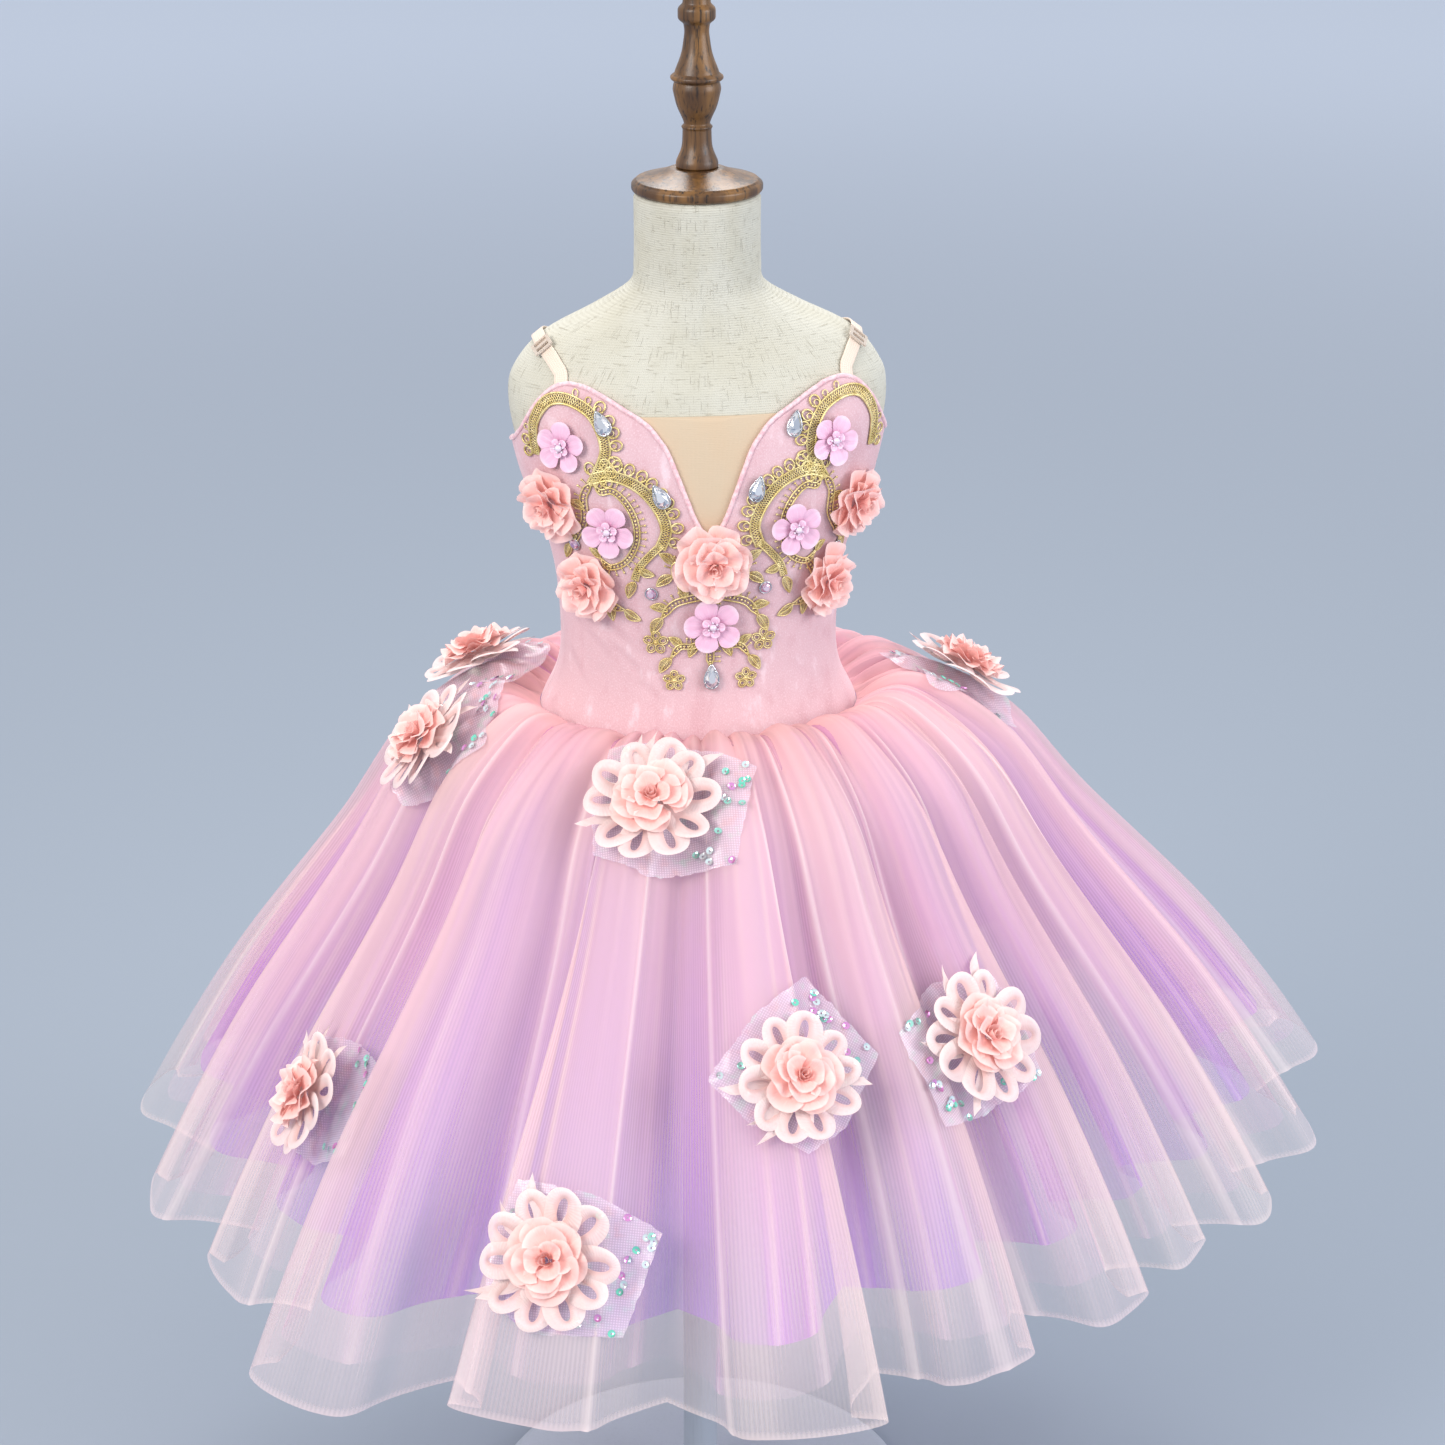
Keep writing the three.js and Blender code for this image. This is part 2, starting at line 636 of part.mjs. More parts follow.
function skirtPoint(place, along, inset) {
  const fold = foldAt(place);
  const here = skirtEnvelope(fold, along);
  const step = 0.04;
  const run = skirtEnvelope(fold, Math.min(along + step, 1))
    .sub(skirtEnvelope(fold, Math.max(along - step, 0))).normalize();
  const out = new THREE.Vector2(-run.y, run.x).lerp(new THREE.Vector2(1, 0), along * along)
    .normalize();
  const opened = panelValue('fold', along);
  const depth = opened * fold.deep * (1 - fold.crest) + inset;
  const gather = panelValue('gather', along) * fold.gather;
  here.addScaledVector(out, gather - depth);
  const angle = radians(fold.turn) + foldSwell * fold.pitch * opened * fold.swell;
  return new THREE.Vector3(here.x * Math.sin(angle), -here.x * Math.cos(angle), here.y);
}

function skirtNormal(place, along, inset) {
  const step = 0.02;
  const across = skirtPoint(place + step, along, inset).sub(skirtPoint(place - step, along, inset));
  const low = Math.min(along + step, 1);
  const high = Math.max(along - step, 0);
  const climb = skirtPoint(place, high, inset).sub(skirtPoint(place, low, inset));
  return across.cross(climb).normalize();
}

// Columns of a skirt panel between two seams, none of them crowding a seam
function seamPlaces(from, to) {
  const crowd = 0.05;
  const places = [from];
  for (let k = Math.floor(from); k <= Math.ceil(to); k += 1) {
    for (const share of foldSteps) {
      if (k + share > from + crowd && k + share < to - crowd) places.push(k + share);
    }
  }
  places.push(to);
  return places;
}

const outerTulle = [];          // points of the outer layer, which the flowers are seated on

function collectTulle(column) {
  const steps = 6;
  for (let j = 0; j < column.length - 1; j += 1) {
    for (let k = 0; k < steps; k += 1) {
      outerTulle.push(column[j].clone().lerp(column[j + 1], k / steps));
    }
  }
}

function addSkirtLayer(layer) {
  const halves = [
    { name: 'front', from: backSeamFold, to: frontSeamFold },
    { name: 'back', from: frontSeamFold, to: backSeamFold + foldCount },
  ];
  const seamShare = 0.003;      // half of the gap at a seam, as a share of a fold
  const isOuter = layer.cut === 1;
  const alongs = panelRows.map((row, k) => ({ row, along: k / (panelRows.length - 1) }))
    .filter(({ row }) => isOuter || row.inner)
    .map(({ along }) => along * layer.cut);
  for (const { name, from, to } of halves) {
    const places = seamPlaces(from + seamShare, to - seamShare);
    const insetAt = (along) => lerp(layer.atWaist, layer.atHem, panelValue('nest', along));
    const outer = places.map((place) => alongs.map(
      (along) => skirtPoint(place, along, insetAt(along))));
    const inner = outer.map((column, i) => column.map((point, j) => {
      const normal = skirtNormal(places[i], alongs[j], insetAt(alongs[j]));
      return point.clone().addScaledVector(normal, -tulleThick);
    }));
    if (isOuter) outer.forEach(collectTulle);
    addPiece(`skirt_${layer.name}_${name}`, wallGeometry(outer, inner),
      { color: layer.colour, roughness: 0.8, metalness: 0 });
  }
}

// Flowers, rosettes and set stones

// Shapes of the sewn-on trims from their underside to their top, as shares of the half size.
// lift is the height above what they are sewn on, and lobe how deep the petals are cut.
const rosetteShape = {
  petals: 6,
  around: 12,
  top: 12,
  levels: [
    { share: 0.36, lift: 0, lobe: 0 },
    { share: 0.98, lift: 5, lobe: 0.09 },
    { share: 0.9, lift: 9, lobe: 0.12 },
    { share: 0.5, lift: 15, lobe: 0.08 },
  ],
};
const ribbonFlowerShape = {
  petals: 8,
  around: 16,
  top: 14,
  levels: [
    { share: 0.5, lift: 0, lobe: 0 },
    { share: 1, lift: 2.5, lobe: 0.07 },
    { share: 0.94, lift: 7, lobe: 0.07 },
    { share: 0.58, lift: 11, lobe: 0.05 },
    { share: 0.4, lift: 18, lobe: 0.1 },
  ],
};
const satinShape = {
  petals: 5,
  around: 15,
  top: 5,
  levels: [
    { share: 0.98, lift: 0, lobe: 0.2 },
    { share: 1, lift: 1.8, lobe: 0.2 },
    { share: 0.34, lift: 4.4, lobe: 0.1 },
  ],
};

function spunFrame(frame, spin) {
  const cos = Math.cos(radians(spin));
  const sin = Math.sin(radians(spin));
  return {
    at: frame.at.clone(),
    out: frame.out.clone(),
    side: frame.side.clone().multiplyScalar(cos).addScaledVector(frame.rise, sin),
    rise: frame.rise.clone().multiplyScalar(cos).addScaledVector(frame.side, -sin),
  };
}

function frameCentre(frame, lift) {
  return frame.at.clone().addScaledVector(frame.out, lift);
}

function blossomGeometry(frame, shape, halfSize) {
  const { levels, petals, around, top } = shape;
  const rings = levels.map(({ share, lift, lobe }) => [...Array(around).keys()].map((k) => {
    const angle = (k / around) * Math.PI * 2;
    const radius = halfSize * share * (1 - lobe + lobe * Math.cos(petals * angle));
    return frameCentre(frame, lift).addScaledVector(frame.side, radius * Math.cos(angle))
      .addScaledVector(frame.rise, radius * Math.sin(angle));
  }));
  return loftGeometry(rings, frameCentre(frame, levels[0].lift), frameCentre(frame, top));
}

const velvetTop = bodiceOff + bodiceThick;
const laceTop = velvetTop + laceGap + laceThick;

function trimFrame({ turn, up, spin, on }) {
  const seat = on === 'lace' ? laceTop + laceTrimGap : velvetTop + velvetTrimGap;
  return spunFrame(formFrame(turn, up, seat), spin);
}

function addBodiceFlowers() {
  rosettes.forEach((row, k) => {
    addPiece(`rosette_${k + 1}`, blossomGeometry(trimFrame(row), rosetteShape, row.size / 2),
      coralChiffon);
  });
  satinFlowers.forEach((row, k) => {
    addPiece(`satin_flower_${k + 1}`, blossomGeometry(trimFrame(row), satinShape, row.size / 2),
      orchidSatin);
  });
}

// Drop-shaped stone in its setting, its tip along the frame's rise
function dropGeometry(frame) {
  const around = 8;
  const halfTall = 9.2;
  const bellyWide = 7;
  const bellyPower = 1.1;
  const levels = [{ share: 1, lift: 0 }, { share: 1, lift: 1.6 }, { share: 0.6, lift: 4.4 }];
  const rings = levels.map(({ share, lift }) => [...Array(around).keys()].map((k) => {
    const angle = ((k + 0.5) / around) * Math.PI * 2;
    const wide = bellyWide * share * Math.sin(angle) * Math.abs(Math.sin(angle / 2)) ** bellyPower;
    const tall = halfTall * share * Math.cos(angle);
    return frameCentre(frame, lift).addScaledVector(frame.side, wide)
      .addScaledVector(frame.rise, tall);
  }));
  return loftGeometry(rings, middleOf(rings[0]), middleOf(rings[2]));
}

function addDropStones() {
  dropStones.forEach((row, k) => {
    addPiece(`drop_stone_${k + 1}`, dropGeometry(trimFrame(row)), cutGlass);
  });
}

// Cord lace: flat bands joined in the plane of the cloth, then bent onto the bodice.
// across is measured along the cloth from the centre front, up is the height.
const cupLace = [
  { width: 8, route: [[119, 838], [119, 858], [108, 873], [94, 876], [79, 870], [71, 859], [68, 845],
    [73, 831], [78, 822]] },
  { width: 8, route: [[78, 826], [68, 829], [56, 827], [44, 820], [34, 808], [29, 794], [33, 781]] },
  { width: 6, route: [[32, 784], [40, 776], [47, 767], [50, 758]] },
  { width: 5, route: [[76, 823], [72, 818], [64, 819], [55, 811], [49, 798], [49, 784], [56, 771],
    [67, 766], [74, 772]] },
  { width: 6, route: [[78, 824], [84, 814], [84, 798], [91, 786], [97, 777]] },
  { width: 6, route: [[66, 768], [73, 758], [75, 748], [68, 739], [57, 736]] },
];
const centreLace = [
  { width: 6, route: [[0, 764], [0, 730], [0, 697]] },
  { width: 6, route: [[0, 756], [10, 768], [22, 770], [25, 762]] },
  { width: 6, route: [[0, 756], [-10, 768], [-22, 770], [-25, 762]] },
  { width: 6, route: [[0, 748], [12, 746], [24, 742], [32, 732]] },
  { width: 6, route: [[0, 748], [-12, 746], [-24, 742], [-32, 732]] },
  { width: 5, route: [[0, 722], [10, 712], [20, 711], [26, 703]] },
  { width: 5, route: [[0, 722], [-10, 712], [-20, 711], [-26, 703]] },
];

// Turn that lies this far round the velvet from the centre front
function turnAtAcross(across, up) {
  const step = 0.5;
  let turn = 0;
  let run = 0;
  let here = onForm(0, up, velvetTop);
  while (run < Math.abs(across)) {
    const next = onForm(turn + step, up, velvetTop);
    const stride = next.distanceTo(here);
    if (run + stride >= Math.abs(across)) {
      turn += step * ((Math.abs(across) - run) / stride);
      break;
    }
    run += stride;
    turn += step;
    here = next;
  }
  return Math.sign(across) * turn;
}

function bandSolid({ width, route }, hand) {
  const stride = 11;
  const curve = new THREE.CatmullRomCurve3(
    route.map(([across, up]) => new THREE.Vector3(hand * across, up, 0)), false, 'centripetal');
  const steps = Math.max(2, Math.round(curve.getLength() / stride));
  const frames = [...Array(steps + 1).keys()].map((k) => {
    const along = curve.getTangentAt(k / steps);
    return {
      at: curve.getPointAt(k / steps),
      side: new THREE.Vector3(along.y, -along.x, 0),
      out: new THREE.Vector3(0, 0, 1),
    };
  });
  const half = width / 2;
  const section = [[-half, 0], [half, 0], [half, laceThick], [-half, laceThick]];
  const geometry = mergeVertices(sweepGeometry(frames, section), weld);
  return new wasm.Manifold(new wasm.Mesh({
    numProp: 3,
    vertProperties: new Float32Array(geometry.getAttribute('position').array),
    triVerts: new Uint32Array(geometry.getIndex().array),
  }));
}

function addLace(name, bands, hand) {
  const flat = bands.map((band) => bandSolid(band, hand)).reduce((whole, band) => whole.add(band));
  const { numProp, vertProperties, triVerts } = flat.getMesh();
  const base = velvetTop + laceGap;
  const points = [];
  for (let k = 0; k < vertProperties.length; k += numProp) {
    const [across, up, lift] = vertProperties.slice(k, k + 3);
    points.push(onForm(turnAtAcross(across, up), up, base + lift));
  }
  const faces = [];
  for (let k = 0; k < triVerts.length; k += 3) faces.push([...triVerts.slice(k, k + 3)]);
  addPiece(`lace_${name}`, closedGeometry(points, faces), goldCord);
}

// Sewn-on flowers of the skirt, each on its scrap of organza

function placeAtTurn(turn) {
  const k = folds.findIndex((fold, i) => {
    const next = folds[(i + 1) % foldCount].turn;
    const gap = (next - fold.turn + 720) % 360;
    return (turn - fold.turn + 720) % 360 < gap;
  });
  const gap = (folds[(k + 1) % foldCount].turn - folds[k].turn + 720) % 360;
  return k + ((turn - folds[k].turn + 720) % 360) / gap;
}

function envelopePoint(turn, along) {
  const { x: radius, y: up } = skirtEnvelope(foldAt(placeAtTurn(turn)), along);
  return new THREE.Vector3(radius * Math.sin(radians(turn)), -radius * Math.cos(radians(turn)), up);
}

function skirtFrame(turn, along) {
  const side = envelopePoint(turn + 4, along).sub(envelopePoint(turn - 4, along)).normalize();
  const climb = envelopePoint(turn, along - 0.04).sub(envelopePoint(turn, along + 0.04)).normalize();
  const out = new THREE.Vector3().crossVectors(side, climb).normalize();
  const rise = new THREE.Vector3().crossVectors(out, side).normalize();
  return { at: envelopePoint(turn, along), side, rise, out };
}

// Height above the frame's plane of the tulle under a flower of this reach
function tulleHeight(frame, reach) {
  let highest = -Infinity;
  for (const point of outerTulle) {
    const away = point.clone().sub(frame.at);
    const flat = Math.hypot(away.dot(frame.side), away.dot(frame.rise));
    if (flat < reach) highest = Math.max(highest, away.dot(frame.out));
  }
  return highest;
}

// Torn outline of an organza scrap: reach in each direction from the flower's centre
const scrapOutline = [54, 44, 51, 47, 60, 46, 49, 43, 56, 48];

function scrapGeometry(frame, size) {
  const corners = scrapOutline.map((reach, k) => {
    const angle = (k / scrapOutline.length) * Math.PI * 2;
    return [size * reach * Math.cos(angle), size * reach * Math.sin(angle)];
  });
  const ring = (lift) => corners.map(([side, rise]) => frameCentre(frame, lift)
    .addScaledVector(frame.side, side).addScaledVector(frame.rise, rise));
  return loftGeometry([ring(0), ring(scrapThick)], frameCentre(frame, 0),
    frameCentre(frame, scrapThick));
}

function addSkirtFlowers() {
  const halfSize = 43;
  const reach = 68;             // of the tulle folds that can touch a scrap
  skirtFlowers.forEach(({ turn, along, spin, size }, k) => {
    const flat = spunFrame(skirtFrame(turn, along), spin);
    const lift = tulleHeight(flat, reach * size) + scrapGap;
    const scrap = { ...flat, at: frameCentre(flat, lift) };
    addPiece(`flower_scrap_${k + 1}`, scrapGeometry(scrap, size), organza);
    const flower = { ...flat, at: frameCentre(flat, lift + scrapThick + seamGap) };
    addPiece(`skirt_flower_${k + 1}`,
      blossomGeometry(flower, ribbonFlowerShape, halfSize * size), paleRibbon);
  });
}

addStand();
addTorso();
addCapAndFinial();
addBodice();
addInsert();
addBindings();
addStrap('left', -1);
addStrap('right', 1);
addLace('left', cupLace, -1);
addLace('right', cupLace, 1);
addLace('centre', centreLace, 1);
addBodiceFlowers();
addDropStones();
skirtLayers.forEach(addSkirtLayer);
addSkirtFlowers();

export default dress;
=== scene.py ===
import math

import bpy
import numpy as np
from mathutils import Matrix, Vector
from mathutils.bvhtree import BVHTree


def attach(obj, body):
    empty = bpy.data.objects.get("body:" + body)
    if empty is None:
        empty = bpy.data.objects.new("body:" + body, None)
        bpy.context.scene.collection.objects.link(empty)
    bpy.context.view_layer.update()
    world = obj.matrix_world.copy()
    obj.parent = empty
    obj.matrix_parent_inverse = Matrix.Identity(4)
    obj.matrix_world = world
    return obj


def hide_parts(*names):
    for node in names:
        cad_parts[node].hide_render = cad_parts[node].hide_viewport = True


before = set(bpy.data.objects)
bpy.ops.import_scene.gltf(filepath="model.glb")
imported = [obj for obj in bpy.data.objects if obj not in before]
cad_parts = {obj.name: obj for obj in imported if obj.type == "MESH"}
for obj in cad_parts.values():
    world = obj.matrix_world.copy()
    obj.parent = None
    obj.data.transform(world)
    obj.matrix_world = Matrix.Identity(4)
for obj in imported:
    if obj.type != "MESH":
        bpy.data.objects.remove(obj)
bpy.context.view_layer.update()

# Camera
# It stands in front of the form, a little to one side and above the neck, and looks down on it
# through a long lens. Lengths are millimetres up to the floor's section, and angles are degrees.
picture_width = 1445
focal_pixels = 3500
camera_turn = -6
camera_away = 2260
camera_up = 1500
camera_pitch = 21.1
camera_yaw = 0.42               # to the right of the form's axis
film_width = 36
metre = 0.001

camera_data = bpy.data.cameras.new("camera")
camera_data.sensor_width = film_width
camera_data.lens = film_width * focal_pixels / picture_width
camera = bpy.data.objects.new("camera", camera_data)
bpy.context.scene.collection.objects.link(camera)
bpy.context.scene.camera = camera
turn = math.radians(camera_turn)
heading = -turn + math.radians(camera_yaw)
pitch = math.radians(camera_pitch)
away = Vector((math.sin(turn), -math.cos(turn), 0)) * camera_away
camera.location = (away + Vector((0, 0, camera_up))) * metre
level = Vector((math.sin(heading), math.cos(heading), 0)) * math.cos(pitch)
looking = level - Vector((0, 0, math.sin(pitch)))
camera.rotation_mode = "QUATERNION"
camera.rotation_quaternion = looking.to_track_quat("-Z", "Y")


# Base and pole of the dress form
# A weighted round foot and a plain pole, turned from a close-grained hardwood and painted a pale
# grey, since nothing dark shows through the hem. The pole stands in the foot and carries the torso.
base_radius = 155
pole_radius = 12.5
base_top = 24
torso_bottom = 560
joint_gap = 0.3
wood_dark = "#1c1007"
wood_mid = "#51351a"
wood_light = "#80592a"
paint_pale = "#adb5c1"
paint_shade = "#8f96a2"


def linear(colour):
    """Linear RGBA of an sRGB hex colour."""
    parts = [int(colour[k:k + 2], 16) / 255 for k in (1, 3, 5)]
    return tuple(c / 12.92 if c <= 0.04045 else ((c + 0.055) / 1.055) ** 2.4 for c in parts) + (1.0,)


def fill(sockets, values):
    """Links or sets sockets by name or number, with _ for a space. Colours are sRGB hex values.

    A Mix node's colours are its sockets 6 and 7, and its mixed colour is output 2.
    """
    for key, value in values.items():
        socket = sockets[key.replace("_", " ") if isinstance(key, str) else key]
        if isinstance(value, bpy.types.NodeSocket):
            value.id_data.links.new(value, socket)
        else:
            socket.default_value = linear(value) if isinstance(value, str) else value


def add(tree, kind, inputs, out=0, **settings):
    """Adds a shader node with its settings and inputs, and gives back one of its outputs."""
    made = tree.nodes.new("ShaderNode" + kind)
    for name, value in settings.items():
        setattr(made, name, value)
    fill(made.inputs, inputs)
    return made.outputs[out]


def start_material(name, **fixed):
    """An empty material, its node tree, and its main shader's inputs with the fixed values set."""
    material = bpy.data.materials.new(name)
    material.use_nodes = True
    finish = material.node_tree.nodes["Principled BSDF"].inputs
    fill(finish, fixed)
    return material, material.node_tree, finish


def tinted(tree, under, over, pattern, low, high, least=0.0, most=1.0):
    """Colour that goes smoothly from under to over, least to most, as a pattern rises."""
    share = add(tree, "MapRange", {0: pattern, 1: low, 2: high, 3: least, 4: most},
                interpolation_type="SMOOTHSTEP")
    return add(tree, "Mix", {0: share, 6: under, 7: over}, 2, data_type="RGBA")


def stretched_noise(tree, place, sizes, detail=3.0, rough=0.55):
    """Noise whose grain has a size of its own along each axis of place."""
    scales = tuple(1 / size for size in sizes)
    sized = add(tree, "VectorMath", {0: place, 1: scales}, operation="MULTIPLY")
    return add(tree, "TexNoise", {"Vector": sized, "Scale": 1.0, "Detail": detail, "Roughness": rough})


def through_piece(tree, wide, tall, detail=2.0, rough=0.55):
    """Noise that runs through a whole piece, its grain this wide and this tall in millimetres."""
    place = add(tree, "TexCoord", {}, "Object")
    return stretched_noise(tree, place, (wide * metre, wide * metre, tall * metre), detail, rough)


# Stained, lacquered hardwood: dark pores and paler bands run along the pole under a soft gloss.
grain_width = 2.2               # real grain is about 0.7 mm wide, drawn coarser so that it shows
grain_length = 45


def turned_hardwood():
    material, tree, finish = start_material("stained_hardwood", Roughness=0.42, IOR=1.5,
                                            Coat_Weight=0.18, Coat_Roughness=0.25)
    grain = through_piece(tree, grain_width, grain_length, 4.0, 0.6)
    bands = through_piece(tree, 6 * grain_width, 2 * grain_length)
    tone = tinted(tree, wood_mid, wood_light, bands, 0.35, 0.68)
    relief = add(tree, "Bump", {"Height": grain, "Distance": 0.15 * metre})
    fill(finish, {"Base Color": tinted(tree, wood_dark, tone, grain, 0.30, 0.52), "Normal": relief})
    return material


# Pale painted wood: satin paint, with the grain just showing under it.
def painted_wood():
    material, tree, finish = start_material("pale_painted_wood", Roughness=0.5, IOR=1.5)
    grain = through_piece(tree, grain_width, grain_length, 3.0, 0.6)
    relief = add(tree, "Bump", {"Height": grain, "Distance": 0.08 * metre})
    fill(finish, {"Base Color": tinted(tree, paint_shade, paint_pale, grain, 0.25, 0.5, 0.8),
                  "Normal": relief})
    return material


def grid_faces(columns, rows, start=0, closed=False):
    """Quads of a grid of points stored column by column."""
    count = columns if closed else columns - 1
    faces = []
    for i in range(count):
        a = start + i * rows
        b = start + ((i + 1) % columns) * rows
        faces += [(a + j, b + j, b + j + 1, a + j + 1) for j in range(rows - 1)]
    return faces


def make_piece(name, points, faces, material, uv=None, values=None, smooth=True):
    """A mesh from points in millimetres, with its cloth coordinates and other point values."""
    mesh = bpy.data.meshes.new(name)
    mesh.from_pydata((np.asarray(points, float).reshape(-1, 3) * metre).tolist(), [], faces)
    if uv is not None:
        corners = np.zeros(len(mesh.loops), int)
        mesh.loops.foreach_get("vertex_index", corners)
        layer = mesh.uv_layers.new(name="cloth")
        layer.data.foreach_set("uv", np.asarray(uv, float).reshape(-1, 2)[corners].ravel())
    for title, numbers in (values or {}).items():
        attribute = mesh.attributes.new(title, "FLOAT", "POINT")
        attribute.data.foreach_set("value", np.asarray(numbers, np.float32).ravel())
    mesh.polygons.foreach_set("use_smooth", [smooth] * len(mesh.polygons))
    mesh.materials.append(material)
    piece = bpy.data.objects.new(name, mesh)
    bpy.context.scene.collection.objects.link(piece)
    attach(piece, "root")
    return piece


def turned(name, profile, material, around=72):
    """A body turned about the vertical axis from rows of radius and height."""
    rows = np.array(profile, float)
    angles = np.arange(around) / around * 2 * np.pi
    ring = np.stack([np.sin(angles), -np.cos(angles)], -1)
    points = np.zeros((around, len(rows), 3))
    points[..., :2] = ring[:, None, :] * rows[None, :, 0, None]
    points[..., 2] = rows[None, :, 1]
    points = points.reshape(-1, 3)
    faces = grid_faces(around, len(rows), closed=True)
    ends = [[0, 0, rows[0, 1]], [0, 0, rows[-1, 1]]]
    low, high = len(points), len(points) + 1
    for i in range(around):
        after = (i + 1) % around
        faces.append((low, after * len(rows), i * len(rows)))
        faces.append((high, i * len(rows) + len(rows) - 1, after * len(rows) + len(rows) - 1))
    return make_piece(name, np.vstack([points, ends]), faces, material)


def rounded_profile(corners, steps=5):
    """Corners of a profile, each given as radius, height and rounding, turned into short arcs."""
    rows = np.array(corners, float)
    made = []
    for k, (radius, up, rounding) in enumerate(rows):
        if rounding == 0 or k in (0, len(rows) - 1):
            made.append((radius, up))
            continue
        here = np.array((radius, up))
        before, after = rows[k - 1, :2] - here, rows[k + 1, :2] - here
        reach = min(rounding, 0.45 * np.linalg.norm(before), 0.45 * np.linalg.norm(after))
        start = here + before / np.linalg.norm(before) * reach
        end = here + after / np.linalg.norm(after) * reach
        for share in np.linspace(0, 1, steps):
            near, far = (1 - share) ** 2, share ** 2
            made.append(tuple(start * near + here * 2 * share * (1 - share) + end * far))
    return made


hardwood = turned_hardwood()
paint = painted_wood()
base = turned("foot_of_form", rounded_profile([
    (4, 0, 0), (base_radius - 2, 0, 0.6), (base_radius, 3, 2.5), (base_radius, 9, 3),
    (base_radius - 6, 13, 3), (90, 18, 30), (34, base_top - 1.5, 4), (20, base_top, 2),
    (pole_radius, base_top, 0)]), paint, 96)
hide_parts("form_base")
pole = turned("pole_of_form", rounded_profile([
    (pole_radius - 1, base_top + joint_gap, 0), (pole_radius, base_top + 2, 1), (pole_radius, 300, 0),
    (pole_radius, torso_bottom - 2, 1), (pole_radius - 1, torso_bottom - joint_gap, 0)]), paint, 32)
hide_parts("form_pole")


# Torso of the dress form
# A padded hollow shell of a child's chest, waist, hips and neck with no arms or head. Its cover is
# cream linen cut in panels, pulled tight and sewn down the centre front, centre back and sides.
form_sections = [
    # height, half width, half depth, squareness of the section
    (560, 108.0, 83.0, 2.2),
    (600, 110.0, 85.0, 2.2),
    (647, 105.5, 80.0, 2.2),
    (670, 95.0, 74.0, 2.25),
    (690, 91.0, 71.0, 2.3),
    (720, 91.5, 71.5, 2.3),
    (745, 94.0, 73.5, 2.3),
    (768, 99.0, 75.0, 2.3),
    (790, 107.0, 76.0, 2.3),
    (814, 116.0, 75.0, 2.3),
    (838, 122.0, 72.5, 2.3),
    (860, 126.0, 69.0, 2.3),
    (880, 125.0, 63.5, 2.2),
    (897, 115.0, 56.0, 2.1),
    (910, 100.0, 50.0, 2.0),
    (926, 68.0, 45.5, 2.0),
    (940, 45.0, 43.0, 2.0),
    (955, 42.0, 42.0, 2.0),
    (1000, 41.75, 41.75, 2.0),
]
neck_top = 1000
linen_pale = "#d0cec1"
linen_dark = "#b9b298"
linen_slub = "#a1977f"
thread_pitch = 1.5              # real threads lie about 0.6 mm apart, drawn coarser to show
slub_thick, slub_long, slub_tall = 1.2, 13, 14


def smooth_rows(rows, at):
    """Smooth values of a table's later columns at places along its first column."""
    table = np.array(rows, float)
    at = np.asarray(at, float)
    last = len(table) - 1
    k = np.clip(np.searchsorted(table[:, 0], at, side="left") - 1, 0, last - 1)
    share = np.clip((at - table[k, 0]) / (table[k + 1, 0] - table[k, 0]), 0, 1)[..., None]
    a, b, c, d = (table[np.clip(k + step, 0, last), 1:] for step in (-1, 0, 1, 2))
    return 0.5 * (2 * b + (c - a) * share + (2 * a - 5 * b + 4 * c - d) * share ** 2
                  + (3 * b - a - 3 * c + d) * share ** 3)


def form_skin(turn, up):
    """Point of the form's surface at a turn from the centre front and a height."""
    turn, up = np.broadcast_arrays(np.asarray(turn, float), np.asarray(up, float))
    wide, deep, square = np.moveaxis(smooth_rows(form_sections, up), -1, 0)
    sin, cos = np.sin(np.radians(turn)), np.cos(np.radians(turn))
    radius = ((np.abs(sin) / wide) ** square + (np.abs(cos) / deep) ** square) ** (-1 / square)
    return np.stack([radius * sin, -radius * cos, up], -1)


def unit(vectors):
    """Vectors brought to a length of one."""
    return vectors / np.maximum(np.linalg.norm(vectors, axis=-1, keepdims=True), 1e-9)


def form_frame(turn, up):
    """Directions on the form's surface: along the turn, up the cloth, and outward."""
    side = unit(form_skin(turn + 1, up) - form_skin(turn - 1, up))
    climb = form_skin(turn, up + 2) - form_skin(turn, up - 2)
    out = unit(np.cross(side, climb))
    return side, np.cross(out, side), out


def on_form(turn, up, off=0):
    """Point this far off the form's surface."""
    turn, up = np.broadcast_arrays(np.asarray(turn, float), np.asarray(up, float))
    return form_skin(turn, up) + form_frame(turn, up)[2] * np.asarray(off, float)[..., None]


def soft_line(away, width):
    """A soft ridge across a line: 1 on it, 0 well away from it."""
    return np.exp(-(away / width) ** 2)


def stripes(tree, coordinate, pitch_mm):
    """Even rounded stripes, 0 to 1, at a pitch along a coordinate in millimetres."""
    turns = add(tree, "Math", {0: coordinate, 1: 2 * math.pi / pitch_mm}, operation="MULTIPLY")
    wave = add(tree, "Math", {0: turns}, operation="SINE")
    return add(tree, "Math", {0: wave, 1: 0.5, 2: 0.5}, operation="MULTIPLY_ADD")


def cloth_place(tree):
    """The cloth's own coordinates in millimetres, as a vector and as its two parts."""
    place = add(tree, "UVMap", {}, uv_map="cloth")
    across = add(tree, "SeparateXYZ", {0: place})
    return place, across, across.node.outputs[1]


def plain_weave(tree, across, up, pitch_mm):
    """Threads at one pitch both ways, high where they cross."""
    return add(tree, "Math", {0: stripes(tree, across, pitch_mm), 1: stripes(tree, up, pitch_mm)},
               operation="MULTIPLY")


